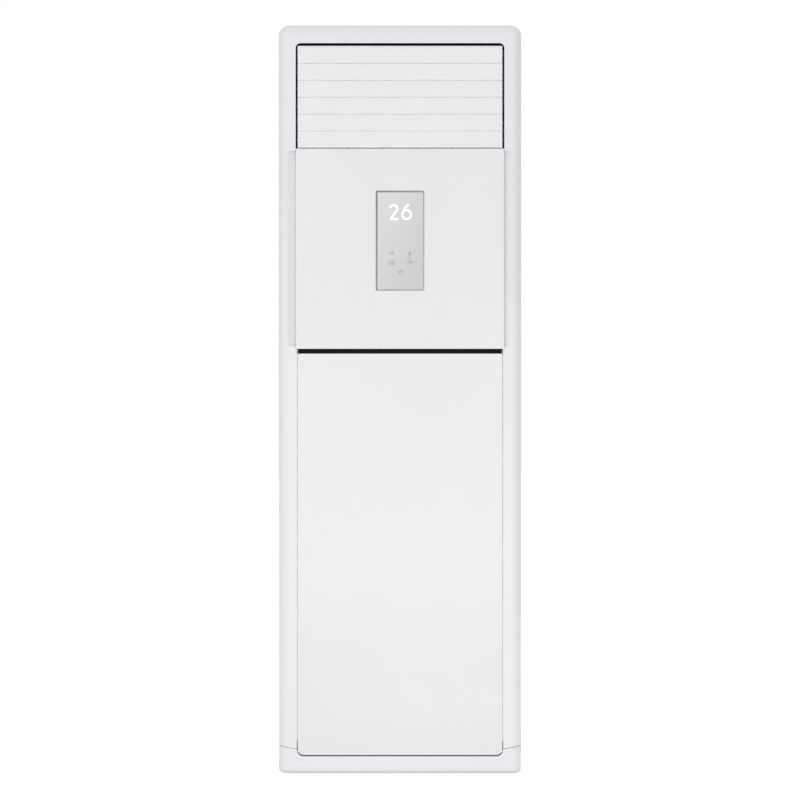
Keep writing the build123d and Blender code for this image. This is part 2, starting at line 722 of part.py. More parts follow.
def rear_panel():
    """The rear sheet: pressed ribs, a pipe hole, and holes for the screws and the wall bracket."""
    panel = box(-HALF, HALF, REAR_INNER, REAR_SKIN, PAN_Z, COVER_BOTTOM)
    ribs = [Pos(0, REAR_RIB_START + row * REAR_RIB_PITCH) * SlotOverall(REAR_RIB_LENGTH, REAR_RIB_WIDTH)
            for row in range(REAR_RIB_COUNT)]
    grooves = [Pos(0, REAR_RIB_START + row * REAR_RIB_PITCH)
               * SlotOverall(REAR_RIB_LENGTH - 2 * SHEET, REAR_RIB_WIDTH - 2 * SHEET)
               for row in range(REAR_RIB_COUNT)]
    beads = along_y(Sketch() + ribs, REAR_SKIN, REAR_Y)
    beads = chamfer(beads.edges().group_by(Axis.Y)[-1], RIB_HEIGHT / 3)
    panel += beads
    panel -= along_y(Sketch() + grooves, REAR_INNER, REAR_Y - SHEET)
    panel -= rod_y(PIPE_HOLE_RADIUS, REAR_INNER, REAR_SKIN, PIPE_HOLE_X, PIPE_HOLE_Z)
    holes = [Pos(x, z) * Circle(SCREW_RADIUS) for x, z in rear_screws()]
    holes += [Pos(x, bracket_z()) * Circle(BRACKET_HOLE_RADIUS) for x in (-BRACKET_HOLE_X, BRACKET_HOLE_X)]
    return panel - along_y(Sketch() + holes, REAR_INNER, REAR_SKIN)


def bracket_z():
    """Height of the wall bracket's holes."""
    return COVER_BOTTOM - BRACKET_DROP


def wall_bracket():
    """The flat plate on the rear panel that a wall strap is bolted to."""
    low = bracket_z() - BRACKET_HEIGHT / 2
    outline = rect(-BRACKET_HALF, BRACKET_HALF, low, low + BRACKET_HEIGHT)
    outline = fillet(outline.vertices(), BRACKET_CORNER)
    outline -= [Pos(x, bracket_z()) * Circle(BRACKET_HOLE_RADIUS) for x in (-BRACKET_HOLE_X, BRACKET_HOLE_X)]
    return along_y(outline, REAR_SKIN, REAR_Y)


def top_cover():
    """The moulded cap behind the front frame. It keeps the frame's outline."""
    cover = along_y(cabinet_outline(0, COVER_BOTTOM), FRAME_BACK, REAR_SKIN)
    ends = cover.faces().sort_by(Axis.Y)
    cover = fillet([edge for edge in ends[-1].edges() if edge.center().Z > COVER_BOTTOM], COVER_ROUND)
    front = cover.faces().sort_by(Axis.Y)[0]
    cover = chamfer([edge for edge in front.edges() if edge.center().Z > COVER_BOTTOM], EDGE_ROUND)
    cover -= along_y(cabinet_outline(WALL, COVER_BOTTOM - WALL), FRAME_BACK - WALL, REAR_SKIN - WALL)
    holes = [Pos(x, z) * Circle(SCREW_RADIUS) for x, z in cover_screws()]
    return cover - along_y(Sketch() + holes, REAR_SKIN - WALL, REAR_SKIN)


def cabinet_screws():
    """Pan head screws in the rear panel and in the top cover's rear wall."""
    screws = []
    for x, z in rear_screws() + cover_screws():
        head = rod_y(SCREW_HEAD_RADIUS, REAR_SKIN, REAR_Y, x, z)
        head = fillet(head.edges().group_by(Axis.Y)[-1], RIB_HEIGHT / 2)
        head -= Pos(x, REAR_Y, z) * Box(SCREW_CROSS, 2 * SCREW_CROSS_DEPTH, SCREW_CROSS_WIDTH)
        head -= Pos(x, REAR_Y, z) * Box(SCREW_CROSS_WIDTH, 2 * SCREW_CROSS_DEPTH, SCREW_CROSS)
        screws.append(head + rod_y(SCREW_RADIUS, REAR_SKIN - SCREW_LENGTH, REAR_SKIN, x, z))
    return Compound(screws)


def pipe_grommet():
    """The soft ring in the rear panel's pipe hole."""
    ring = rod_y(PIPE_HOLE_RADIUS, REAR_INNER, REAR_SKIN, PIPE_HOLE_X, PIPE_HOLE_Z)
    ring += rod_y(GROMMET_FLANGE, REAR_SKIN, REAR_Y, PIPE_HOLE_X, PIPE_HOLE_Z)
    ring += rod_y(GROMMET_FLANGE, REAR_INNER - RIB_HEIGHT, REAR_INNER, PIPE_HOLE_X, PIPE_HOLE_Z)
    return ring - rod_y(GROMMET_RADIUS, REAR_INNER - RIB_HEIGHT, REAR_Y, PIPE_HOLE_X, PIPE_HOLE_Z)


# ---- Outlet: duct, louvres, vanes and their motors ----
def louvre_z(index):
    """Height of a louvre's pins. Louvre 1 is the top one."""
    return LOUVRE_BOTTOM + (LOUVRE_COUNT - index + 0.5) * LOUVRE_PITCH


def vane_x(index):
    """Place of a vane's pins. Vane 1 is the left one."""
    return (index - (VANE_COUNT + 1) / 2) * VANE_PITCH


def outlet_duct():
    """The dark duct behind the louvres, open to the front and the rear, with all the pin holes."""
    back = FRAME_Y + DUCT_DEPTH
    duct = box(-CHEEK_OUT, CHEEK_OUT, FRAME_INNER_Y, back, DUCT_BOTTOM - WALL, DUCT_TOP + WALL)
    duct -= box(-CHEEK, CHEEK, FRAME_INNER_Y, back, DUCT_BOTTOM, DUCT_TOP)
    panel_back = FRONT_Y + PANEL_DEPTH
    duct -= box(-CHEEK_OUT, CHEEK_OUT, FRAME_INNER_Y, panel_back, DUCT_BOTTOM - WALL, DUCT_BOTTOM)
    holes = [Pos(LOUVRE_Y, louvre_z(index)) * Circle(LOUVRE_PIN_RADIUS + PIN_CLEARANCE)
             for index in range(1, LOUVRE_COUNT + 1)]
    duct -= along_x(Sketch() + holes, -CHEEK_OUT, CHEEK_OUT)
    holes = [Pos(vane_x(index), VANE_Y) * Circle(VANE_PIN_RADIUS + PIN_CLEARANCE)
             for index in range(1, VANE_COUNT + 1)]
    return duct - along_z(Sketch() + holes, DUCT_BOTTOM - WALL, DUCT_TOP + WALL)


def blade_section():
    """A louvre blade's section, about its pin: flat face, lip above, rebate below, spine behind."""
    face = -BLADE_PIN_SET
    back = face + BLADE_THICKNESS
    half = (LOUVRE_PITCH - BLADE_GAP) / 2
    section = rect(face, back, -half, half)
    section = fillet(section.vertices().group_by(Axis.X)[0], EDGE_ROUND)
    section += rect(back - BLADE_LIP_THICKNESS, back, half - WALL, half + BLADE_LIP)
    section -= rect(face + BLADE_REBATE, back, -half, -half + WALL)
    spine = make_face(Polyline((back, -half + 2 * WALL), (back + BLADE_SPINE, -WALL),
                               (back + BLADE_SPINE, WALL), (back, half - 2 * WALL), close=True))
    return section + spine


def end_ear(crank):
    """The plate on a blade's end that carries its pin, and on the left its crank pin too."""
    ear = Circle(2 * LOUVRE_PIN_RADIUS)
    ear += rect(BLADE_THICKNESS - BLADE_PIN_SET, 0, -2 * LOUVRE_PIN_RADIUS, 2 * LOUVRE_PIN_RADIUS)
    if crank:
        arm = SlotCenterToCenter(LOUVRE_CRANK, 4 * CRANK_PIN_RADIUS)
        ear += Pos(CRANK_Y / 2, CRANK_Z / 2) * Rot(0, 0, LOUVRE_CRANK_ANGLE) * arm
    return ear


def louvre(index):
    """One louvre blade with its ears, collars, pins and crank pin. The top one reaches its motor."""
    z = louvre_z(index)
    place = Pos(LOUVRE_Y, z)
    ear_in = BLADE_HALF - EAR_THICKNESS
    collar = CHEEK - LINK_PLAY
    blade = along_x(place * blade_section(), -BLADE_HALF, BLADE_HALF)
    blade += along_x(place * end_ear(False), ear_in, BLADE_HALF)
    blade += along_x(place * end_ear(True), -BLADE_HALF, -ear_in)
    blade += rod_x(LOUVRE_COLLAR_RADIUS, BLADE_HALF, collar, LOUVRE_Y, z)
    blade += rod_x(LOUVRE_COLLAR_RADIUS, -collar, -BLADE_HALF, LOUVRE_Y, z)
    blade += rod_x(LOUVRE_PIN_RADIUS, collar, CHEEK_OUT, LOUVRE_Y, z)
    reach = CHEEK_OUT + (MOTOR_BORE_DEPTH - LINK_PLAY if index == 1 else 0)
    blade += rod_x(LOUVRE_PIN_RADIUS, -reach, -collar, LOUVRE_Y, z)
    crank = (LOUVRE_Y + CRANK_Y, z + CRANK_Z)
    blade += rod_x(CRANK_PIN_RADIUS, -collar, -BLADE_HALF, *crank)
    return blade + rod_x(CRANK_COLLAR_RADIUS, -link_inner() + LINK_PLAY, -BLADE_HALF, *crank)


def link_inner():
    """How far from the middle the louvre link's inner face lies."""
    return CHEEK - LINK_SET - LINK_THICKNESS


def louvre_link():
    """The upright bar that joins the crank pins of all louvres, on the left."""
    y = LOUVRE_Y + CRANK_Y
    top = louvre_z(1) + CRANK_Z + 2 * LINK_HALF_WIDTH
    bottom = louvre_z(LOUVRE_COUNT) + CRANK_Z - 2 * LINK_HALF_WIDTH
    bar = rect(y - LINK_HALF_WIDTH, y + LINK_HALF_WIDTH, bottom, top)
    bar = fillet(bar.vertices(), LINK_ROUND)
    bar -= [Pos(y, louvre_z(index) + CRANK_Z) * Circle(CRANK_PIN_RADIUS + PIN_CLEARANCE)
            for index in range(1, LOUVRE_COUNT + 1)]
    return along_x(bar, -link_inner() - LINK_THICKNESS, -link_inner())


def stepper(bore_radius):
    """A small stepper motor in its own frame: its bored shaft on the Z axis, its body set to one side."""
    motor = Pos(STEPPER_OFFSET, 0, STEPPER_LENGTH / 2) * Cylinder(STEPPER_RADIUS, STEPPER_LENGTH)
    motor = fillet(motor.edges().group_by(Axis.Z)[-1], STEPPER_ROUND)
    for side in (-1, 1):
        ear = Pos(STEPPER_OFFSET, side * STEPPER_EAR / 2) * Rectangle(2 * STEPPER_EAR_RADIUS, STEPPER_EAR)
        ear += Pos(STEPPER_OFFSET, side * STEPPER_EAR) * Circle(STEPPER_EAR_RADIUS)
        ear -= Pos(STEPPER_OFFSET, side * STEPPER_EAR) * Circle(STEPPER_EAR_RADIUS / 2)
        motor += extrude(ear, STEPPER_EAR_SHEET)
    plug = Box(STEPPER_PLUG_DEPTH, STEPPER_PLUG_WIDTH, STEPPER_LENGTH - 2 * STEPPER_ROUND)
    motor += Pos(STEPPER_OFFSET + STEPPER_RADIUS, 0, STEPPER_LENGTH / 2) * plug
    return motor - Pos(0, 0, MOTOR_BORE_DEPTH / 2) * Cylinder(bore_radius, MOTOR_BORE_DEPTH)


def louvre_motor():
    """The stepper motor on the left cheek, on the top louvre's pin."""
    seat = Plane(origin=(-CHEEK_OUT, LOUVRE_Y, louvre_z(1)), x_dir=(0, 1, 0), z_dir=(-1, 0, 0))
    return seat * stepper(LOUVRE_PIN_RADIUS + PIN_CLEARANCE)


def vane_motor():
    """The stepper motor on top of the duct, on the left vane's pin."""
    seat = Plane(origin=(vane_x(1), VANE_Y, DUCT_TOP + WALL), x_dir=(0, 1, 0), z_dir=(0, 0, 1))
    return seat * stepper(VANE_PIN_RADIUS + PIN_CLEARANCE)


def stepper_motors():
    """The two stepper motors, one for the louvres and one for the vanes."""
    return group(louvre_motor(), vane_motor())


def vane(index):
    """One upright vane, with a pin at each end and two lugs with a crank pin on its rear edge."""
    x = vane_x(index)
    front = VANE_Y - VANE_FRONT
    rear = VANE_Y + VANE_REAR
    outline = rect(front, rear, DUCT_BOTTOM + VANE_END_GAP, DUCT_TOP - VANE_END_GAP)
    outline = fillet(outline.vertices().group_by(Axis.X)[0], VANE_CORNER)
    half = VANE_THICKNESS / 2
    blade = along_x(outline, x - half, x + half)
    blade = fillet(blade.edges().filter_by(Axis.Z).group_by(Axis.Y)[0], VANE_EDGE_ROUND)
    blade += rod_z(2 * half, DUCT_BOTTOM + VANE_END_GAP, DUCT_TOP - VANE_END_GAP, x, VANE_Y)
    blade += rod_z(VANE_PIN_RADIUS, DUCT_BOTTOM - WALL, DUCT_BOTTOM + VANE_END_GAP, x, VANE_Y)
    reach = DUCT_TOP + WALL + (MOTOR_BORE_DEPTH - LINK_PLAY if index == 1 else 0)
    blade += rod_z(VANE_PIN_RADIUS, DUCT_TOP - VANE_END_GAP, reach, x, VANE_Y)
    crank_y = VANE_Y + VANE_CRANK
    near = VANE_LINK_THICKNESS / 2 + LINK_PLAY
    for side in (-1, 1):
        z0, z1 = sorted((VANE_LINK_Z + side * near, VANE_LINK_Z + side * (near + VANE_LUG)))
        blade += box(x - half, x + half, rear - WALL, crank_y, z0, z1)
        blade += rod_z(2 * VANE_CRANK_PIN_RADIUS, z0, z1, x, crank_y)
    return blade + rod_z(VANE_CRANK_PIN_RADIUS, VANE_LINK_Z - near, VANE_LINK_Z + near, x, crank_y)


def vane_link():
    """The level bar that joins the crank pins of all vanes."""
    y = VANE_Y + VANE_CRANK
    end = vane_x(VANE_COUNT) + 2 * LINK_HALF_WIDTH
    bar = rect(-end, end, y - LINK_HALF_WIDTH, y + LINK_HALF_WIDTH)
    bar = fillet(bar.vertices(), LINK_ROUND)
    bar -= [Pos(vane_x(index), y) * Circle(VANE_CRANK_PIN_RADIUS + PIN_CLEARANCE)
            for index in range(1, VANE_COUNT + 1)]
    half = VANE_LINK_THICKNESS / 2
    return along_z(bar, VANE_LINK_Z - half, VANE_LINK_Z + half)


# ---- Fan ----
def scroll_outline(margin):
    """The spiral casing's outline, grown by margin: three quarter rounds, a tongue and an upright neck."""
    first = SPIRAL_START + margin
    near = SPIRAL_STEP / 2
    centre_1 = (near, FAN_Z - near)
    centre_2 = (-near, FAN_Z - near)
    centre_3 = (-near, FAN_Z + near)
    second = first + SPIRAL_STEP
    third = second + SPIRAL_STEP
    roof = centre_1[1] + first
    right = NECK_RIGHT + margin
    left = centre_3[0] - third
    tongue = TONGUE_RADIUS - margin
    return make_face([
        CenterArc(centre_1, first, 0, 90),
        CenterArc(centre_2, second, -90, 90),
        CenterArc(centre_3, third, 180, 90),
        Line((left, centre_3[1]), (left, DECK_Z)),
        Line((left, DECK_Z), (right, DECK_Z)),
        Line((right, DECK_Z), (right, roof + tongue)),
        CenterArc((right + tongue, roof + tongue), tongue, 180, 90),
        Line((right + tongue, roof), (centre_1[0], roof)),
    ])


def scroll_front():
    """The front plate of the scroll with its rounded inlet. It stands on the base pan."""
    outline = rect(-PLATE_HALF, PLATE_HALF, PAN_FLOOR, PLATE_TOP)
    outline -= Pos(0, FAN_Z) * Circle(INLET_RADIUS + INLET_ROUND)
    plate = along_y(outline, FAN_FRONT, SHELF_FRONT)
    middle_y = FAN_FRONT + INLET_ROUND
    outer = INLET_RADIUS + INLET_ROUND
    lip = make_face([
        CenterArc((outer, middle_y), INLET_ROUND, 180, 90),
        Line((outer, FAN_FRONT), (outer, SHELF_FRONT)),
        CenterArc((outer, middle_y), INLET_ROUND - SHEET, 180, 90),
        Line((INLET_RADIUS, middle_y), (INLET_RADIUS + SHEET, middle_y)),
    ])
    ring = revolve(Pos(0, 0, FAN_Z) * lip, Axis((0, 0, FAN_Z), (0, 1, 0)))
    return plate + ring


def scroll_wall():
    """The spiral wall of the scroll."""
    wall = scroll_outline(SCROLL_SHEET) - scroll_outline(0)
    return along_y(wall, SHELF_FRONT, SCROLL_BACK - SCROLL_SHEET - SOLID_GAP)


def scroll_back():
    """The scroll's back plate, open round the hub."""
    back = scroll_outline(SCROLL_SHEET) - Pos(0, FAN_Z) * Circle(HUB_RADIUS)
    return along_y(back, SCROLL_BACK - SCROLL_SHEET, SCROLL_BACK)


def scroll_legs():
    """Two angled legs on the scroll's back plate, down to the base pan."""
    inner = LEG_X - LEG_WIDTH
    front = SCROLL_BACK + SOLID_GAP
    leg = box(inner, LEG_X, front, front + LEG_SHEET, PAN_FLOOR, FAN_Z)
    leg += box(inner, LEG_X, front, front + LEG_FOOT, PAN_FLOOR, PAN_FLOOR + LEG_SHEET)
    return Compound(pair(leg))


def scroll_casing():
    """The scroll: spiral wall, back plate and legs."""
    return group(scroll_wall(), scroll_back(), scroll_legs())


def wheel_disc():
    """The centrifugal wheel's back disc and hub."""
    back = wheel_back()
    disc = along_y(Pos(0, FAN_Z) * (Circle(WHEEL_RADIUS) - Circle(SHAFT_RADIUS)), back - WHEEL_DISC, back)
    hub = Circle(HUB_RADIUS) - Circle(SHAFT_RADIUS)
    return disc + along_y(Pos(0, FAN_Z) * hub, back - HUB_LENGTH, back - WHEEL_DISC)


def wheel_ring():
    """The ring round the wheel's open front."""
    front = FAN_FRONT + WHEEL_SET
    ring = Circle(WHEEL_RADIUS) - Circle(WHEEL_RADIUS - WHEEL_RING)
    return along_y(Pos(0, FAN_Z) * ring, front, front + WHEEL_DISC)


def blower_wheel():
    """The centrifugal wheel without its blades: back disc with hub, and front ring."""
    return group(wheel_disc(), wheel_ring())


def wheel_blades():
    """The wheel's forward curved blades, from the ring to the back disc."""
    chord = WHEEL_RADIUS - WHEEL_INNER_RADIUS
    middle = WHEEL_INNER_RADIUS + chord / 2
    bow = BLADE_BOW * chord
    tip = WHEEL_RADIUS - BLADE_TIP_SET
    lean = BLADE_LEAN * chord
    outer_curve = ThreePointArc((WHEEL_INNER_RADIUS, 0), (middle, bow), (tip, lean))
    inner_curve = ThreePointArc((WHEEL_INNER_RADIUS, WHEEL_BLADE), (middle, bow + WHEEL_BLADE),
                                (tip - WHEEL_BLADE, lean + WHEEL_BLADE))
    blade = make_face([outer_curve, Line(outer_curve @ 1, inner_curve @ 1), inner_curve,
                       Line(inner_curve @ 0, outer_curve @ 0)])
    front = FAN_FRONT + WHEEL_SET + WHEEL_DISC
    back = wheel_back() - WHEEL_DISC
    return Compound([along_y(Pos(0, FAN_Z) * Rot(0, 0, index * 360 / BLADE_COUNT) * blade, front, back)
                     for index in range(BLADE_COUNT)])


def wheel_back():
    """Back face of the wheel's disc."""
    return FAN_FRONT + WHEEL_SET + WHEEL_LENGTH


def motor_shaft():
    """The shaft from the motor to the wheel's nut."""
    nose = wheel_back() - HUB_LENGTH - SHAFT_NOSE
    shaft = rod_y(SHAFT_RADIUS, nose, motor_front() + MOTOR_LENGTH / 2, 0, FAN_Z)
    return chamfer(shaft.edges().group_by(Axis.Y)[0], SHAFT_CHAMFER)


def wheel_nut():
    """The nut that holds the wheel on the shaft."""
    back = wheel_back() - HUB_LENGTH
    nut = hexagon(NUT_ACROSS) - Circle(SHAFT_RADIUS)
    return along_y(Pos(0, FAN_Z) * nut, back - NUT_THICKNESS, back)


def motor_front():
    """Front face of the fan motor."""
    return SCROLL_BACK + MOTOR_PLATE


def motor_bolts():
    """Middles of the four bolts of the motor's plate."""
    side = MOTOR_BOLT
    return [(x, FAN_Z + z) for x in (-side, side) for z in (-side, side)]


def motor_bracket():
    """The square plate between the scroll and the motor, with four bolt heads."""
    half = MOTOR_PLATE_HALF
    plate = rect(-half, half, FAN_Z - half, FAN_Z + half)
    plate = fillet(plate.vertices(), MOTOR_PLATE_CORNER)
    plate -= Pos(0, FAN_Z) * Circle(HUB_RADIUS)
    bracket = along_y(plate, SCROLL_BACK, motor_front())
    heads = [along_y(Pos(x, z) * hexagon(BOLT_ACROSS), motor_front(), motor_front() + BOLT_HEAD)
             for x, z in motor_bolts()]
    return bracket + heads


def fan_motor():
    """The fan motor, with its bored shaft way, cooling grooves and end cap."""
    front = motor_front()
    back = front + MOTOR_LENGTH
    motor = rod_y(MOTOR_RADIUS, front, back, 0, FAN_Z)
    motor = fillet(motor.edges().group_by(Axis.Y)[-1], MOTOR_ROUND)
    cap = rod_y(MOTOR_CAP_RADIUS, back, back + MOTOR_CAP, 0, FAN_Z)
    motor += fillet(cap.edges().group_by(Axis.Y)[-1], MOTOR_CAP_ROUND)
    groove = Circle(MOTOR_RADIUS + MOTOR_GROOVE_DEPTH) - Circle(MOTOR_RADIUS - MOTOR_GROOVE_DEPTH)
    pitch = (MOTOR_LENGTH - MOTOR_ROUND) / (MOTOR_GROOVES + 1)
    for step in range(1, MOTOR_GROOVES + 1):
        y = front + step * pitch
        motor -= along_y(Pos(0, FAN_Z) * groove, y - MOTOR_GROOVE_WIDTH / 2, y + MOTOR_GROOVE_WIDTH / 2)
    return motor - rod_y(SHAFT_RADIUS + SHAFT_FIT, front, front + MOTOR_LENGTH / 2 + SHAFT_CHAMFER, 0, FAN_Z)


def fan_deck():
    """The shelf above the fan, open over the scroll's neck, with holes for the pipes and the hose."""
    deck = box(-SIDE_INNER, SIDE_INNER, SHELF_FRONT, REAR_INNER - SHEET, DECK_Z, DECK_TOP)
    neck_left = -SPIRAL_STEP / 2 - SPIRAL_START - 2 * SPIRAL_STEP
    deck -= box(neck_left, NECK_RIGHT, SHELF_FRONT, SCROLL_BACK - SCROLL_SHEET, DECK_Z, DECK_TOP)
    deck -= rod_z(SPOUT_RADIUS + WALL, DECK_Z, DECK_TOP, SPOUT_X, pan_middle())
    deck -= rod_z(GAS_PIPE_RADIUS + WALL, DECK_Z, DECK_TOP, PIPE_X, tube_place(GAS_TUBE)[0])
    return deck - rod_z(LIQUID_PIPE_RADIUS + WALL, DECK_Z, DECK_TOP, PIPE_X, tube_place(LIQUID_TUBE)[0])


# ---- Filter and intake grille ----
def grid_frame(half, bottom, top, rim, bars, bar):
    """A frame sketch with level bars and one upright bar."""
    frame = rect(-half, half, bottom, top) - rect(rim - half, half - rim, bottom + rim, top - rim)
    pitch = (top - bottom) / (bars + 1)
    levels = [Pos(0, bottom + (row + 1) * pitch) * Rectangle(2 * half - rim, bar) for row in range(bars)]
    return frame + levels + rect(-bar / 2, bar / 2, bottom + rim / 2, top - rim / 2)


def grille_bars():
    """The bars of the finger guard before the fan's inlet."""
    bars = grid_frame(GRILLE_HALF, GRILLE_BOTTOM, GRILLE_TOP, HOLDER_WALL, GRILLE_BARS, GRILLE_BAR)
    return along_y(bars, GRILLE_FRONT, GRILLE_FRONT + GRILLE_THICKNESS)


def filter_holder():
    """The frame on the scroll's front plate that holds the finger guard and the filter."""
    wall = HOLDER_WALL
    rim = rect(-GRILLE_HALF, GRILLE_HALF, GRILLE_BOTTOM, GRILLE_TOP)
    rim -= rect(wall - GRILLE_HALF, GRILLE_HALF - wall, GRILLE_BOTTOM + wall, GRILLE_TOP - wall)
    return along_y(rim, GRILLE_FRONT + GRILLE_THICKNESS + SOLID_GAP, FAN_FRONT)


def intake_grille():
    """The finger guard and the frame that it sits on."""
    return group(grille_bars(), filter_holder())


def filter_frame():
    """The filter's moulded frame, with a groove for the mesh."""
    frame = grid_frame(GRILLE_HALF, GRILLE_BOTTOM, GRILLE_TOP, FILTER_RIM, FILTER_BARS, FILTER_BAR)
    solid = along_y(frame, GRILLE_FRONT - FILTER_DEPTH, GRILLE_FRONT)
    return solid - filter_mesh()


def filter_mesh():
    """The filter's mesh, a thin sheet held in the frame's groove."""
    rim = FILTER_RIM / 2
    y = GRILLE_FRONT - FILTER_DEPTH / 2
    return box(rim - GRILLE_HALF, GRILLE_HALF - rim, y, y + MESH_THICKNESS, GRILLE_BOTTOM + rim,
               GRILLE_TOP - rim)


# ---- Cooling coil, drain and pipes ----
def coil_seat():
    """The coil leans forward from its foot at the rear."""
    return Pos(0, COIL_FOOT_Y, COIL_FOOT_Z) * Rot(COIL_LEAN, 0, 0)


def coil_point(depth, length):
    """A point of the coil in Y and Z: across its depth, and along its length from the foot."""
    lean = radians(COIL_LEAN)
    return (COIL_FOOT_Y + depth * cos(lean) - length * sin(lean),
            COIL_FOOT_Z + depth * sin(lean) + length * cos(lean))


def tube_place(number):
    """Where a numbered pair of tubes of the coil's front row ends, in Y and Z."""
    return coil_point(-TUBE_ROW, (2 * number + 1) * TUBE_PITCH)


def evaporator_core():
    """The coil's fins, threaded on tubes that run from one end plate to the other."""
    half = COIL_WIDTH / 2
    pitch = (COIL_WIDTH - FIN_THICKNESS) / (FIN_COUNT - 1)
    fins = [box(x, x + FIN_THICKNESS, -COIL_DEPTH / 2, COIL_DEPTH / 2, 0, COIL_LENGTH)
            for x in [index * pitch - half for index in range(FIN_COUNT)]]
    step = 2 * BEND_COUNT / THREADED_TUBES
    tubes = [rod_x(TUBE_RADIUS, -half, half, depth, (index + 0.5) * step * TUBE_PITCH)
             for index in range(THREADED_TUBES) for depth in (-TUBE_ROW, TUBE_ROW)]
    return coil_seat() * (Part() + fins + tubes)


def evaporator_end_plates():
    """The coil's end plates. They stand on the drain pan and reach the duct above."""
    half = COIL_WIDTH / 2
    foot = DECK_TOP + SHEET
    long = 2 * COIL_LENGTH
    depth = COIL_PLATE_DEPTH / 2
    plate = coil_seat() * box(half, half + COIL_PLATE, -depth, depth, -long, long)
    front = FRAME_Y + JAMB_DEPTH + LINER_THICKNESS
    room = box(0, HALF, front, REAR_INNER - 2 * SHEET, foot, DUCT_BOTTOM - WALL)
    return Compound(pair(plate & room))


def return_bend(number, depth):
    """One return bend on the coil's right end: half a ring with two stubs."""
    x = COIL_WIDTH / 2 + COIL_PLATE
    low = 2 * number * TUBE_PITCH + TUBE_PITCH / 2
    path = [Line((0, 0), (BEND_STUB, 0)), ThreePointArc((BEND_STUB, 0), (BEND_STUB + TUBE_PITCH / 2,
            TUBE_PITCH / 2), (BEND_STUB, TUBE_PITCH)), Line((BEND_STUB, TUBE_PITCH), (0, TUBE_PITCH))]
    flat = Plane(origin=(x, depth, low), x_dir=(1, 0, 0), z_dir=(0, -1, 0))
    wire = Wire([flat * edge for edge in path])
    return coil_seat() * sweep(Plane(origin=wire @ 0, z_dir=wire % 0) * Circle(TUBE_RADIUS), path=wire)


def return_bends():
    """All return bends, but where the two pipes join the coil."""
    right = [return_bend(number, depth) for number in range(BEND_COUNT) for depth in (-TUBE_ROW, TUBE_ROW)
             if depth > 0 or number not in (GAS_TUBE, LIQUID_TUBE)]
    left = [mirrored(return_bend(number, depth)) for number in range(BEND_COUNT)
            for depth in (-TUBE_ROW, TUBE_ROW)]
    return Compound(right + left)


def pan_middle():
    """Middle of the drain pan, from front to rear."""
    return REAR_INNER - 2 * SHEET - PAN_DEPTH / 2


def drain_pan():
    """The tray under the coil, with a drain spout through the deck."""
    y0 = pan_middle() - PAN_DEPTH / 2
    y1 = pan_middle() + PAN_DEPTH / 2
    top = DECK_TOP + PAN_WALL_HEIGHT
    pan = box(-PAN_LENGTH_HALF, PAN_LENGTH_HALF, y0, y1, DECK_TOP, top)
    inside = PAN_LENGTH_HALF - SHEET
    pan -= box(-inside, inside, y0 + SHEET, y1 - SHEET, DECK_TOP + SHEET, top)
    pan += rod_z(SPOUT_RADIUS, DECK_TOP - SPOUT_LENGTH, DECK_TOP, SPOUT_X, pan_middle())
    return pan - rod_z(SPOUT_RADIUS - HOSE_WALL, DECK_TOP - SPOUT_LENGTH, DECK_TOP + SHEET, SPOUT_X,
                       pan_middle())


def drain_hose():
    """The hose from the drain spout down to the foot of the cabinet."""
    top = DECK_Z - HOSE_WALL
    hose = rod_z(SPOUT_RADIUS + HOSE_WALL, HOSE_END_Z, top, SPOUT_X, pan_middle())
    return hose - rod_z(SPOUT_RADIUS, HOSE_END_Z, top, SPOUT_X, pan_middle())


def coolant_pipe(radius, tube):
    """A pipe from the coil's right end, out past the end plate and straight down."""
    y, z = tube_place(tube)
    start = COIL_WIDTH / 2 + COIL_PLATE
    path = FilletPolyline((start, y, z), (PIPE_X, y, z), (PIPE_X, y, PIPE_END_Z), radius=PIPE_BEND)
    return sweep(Plane(origin=path @ 0, z_dir=path % 0) * Circle(radius), path=path)


def flare_nut(across, bore, port, tube):
    """A flare nut at a pipe's lower end, bored for the pipe above and for the fitting below."""
    y = tube_place(tube)[0]
    mouth = PIPE_END_Z - PORT_LENGTH
    nut = along_z(Pos(PIPE_X, y) * hexagon(across), mouth, mouth + NUT_LENGTH)
    nut = chamfer(nut.edges().group_by(Axis.Z)[-1], NUT_CHAMFER)
    nut -= rod_z(port, mouth, PIPE_END_Z, PIPE_X, y)
    return nut - rod_z(bore, PIPE_END_Z, mouth + NUT_LENGTH, PIPE_X, y)


def refrigerant_pipes():
    """The gas pipe and the liquid pipe."""
    return group(coolant_pipe(GAS_PIPE_RADIUS, GAS_TUBE), coolant_pipe(LIQUID_PIPE_RADIUS, LIQUID_TUBE))


def flare_nuts():
    """The two nuts that join the pipes to the outdoor unit's pipes."""
    return Compound([flare_nut(GAS_NUT_ACROSS, GAS_PIPE_RADIUS, GAS_PORT_RADIUS, GAS_TUBE),
                     flare_nut(LIQUID_NUT_ACROSS, LIQUID_PIPE_RADIUS, LIQUID_PORT_RADIUS, LIQUID_TUBE)])


def inner_liner():
    """The foam board behind the middle panel that closes the coil's chamber."""
    front = FRAME_Y + JAMB_DEPTH
    return box(-WINDOW_HALF - WALL, WINDOW_HALF + WALL, front, front + LINER_THICKNESS,
               DOOR_TOP + BAR_ABOVE, DUCT_BOTTOM - WALL)


# ---- Control box ----
def control_box():
    """The open sheet box before the scroll's front plate, with posts for the board."""
    z0 = DECK_Z + BOX_BOTTOM
    z1 = z0 + BOX_HEIGHT
    front = FAN_FRONT - BOX_DEPTH
    case = box(-BOX_HALF, BOX_HALF, front, FAN_FRONT, z0, z1)
    case -= box(SHEET - BOX_HALF, BOX_HALF - SHEET, front, FAN_FRONT - SHEET, z0 + SHEET, z1 - SHEET)
    posts = [rod_y(BOARD_POST_RADIUS, board_back(), FAN_FRONT - SHEET, x, z) for x, z in board_posts()]
    return case + posts


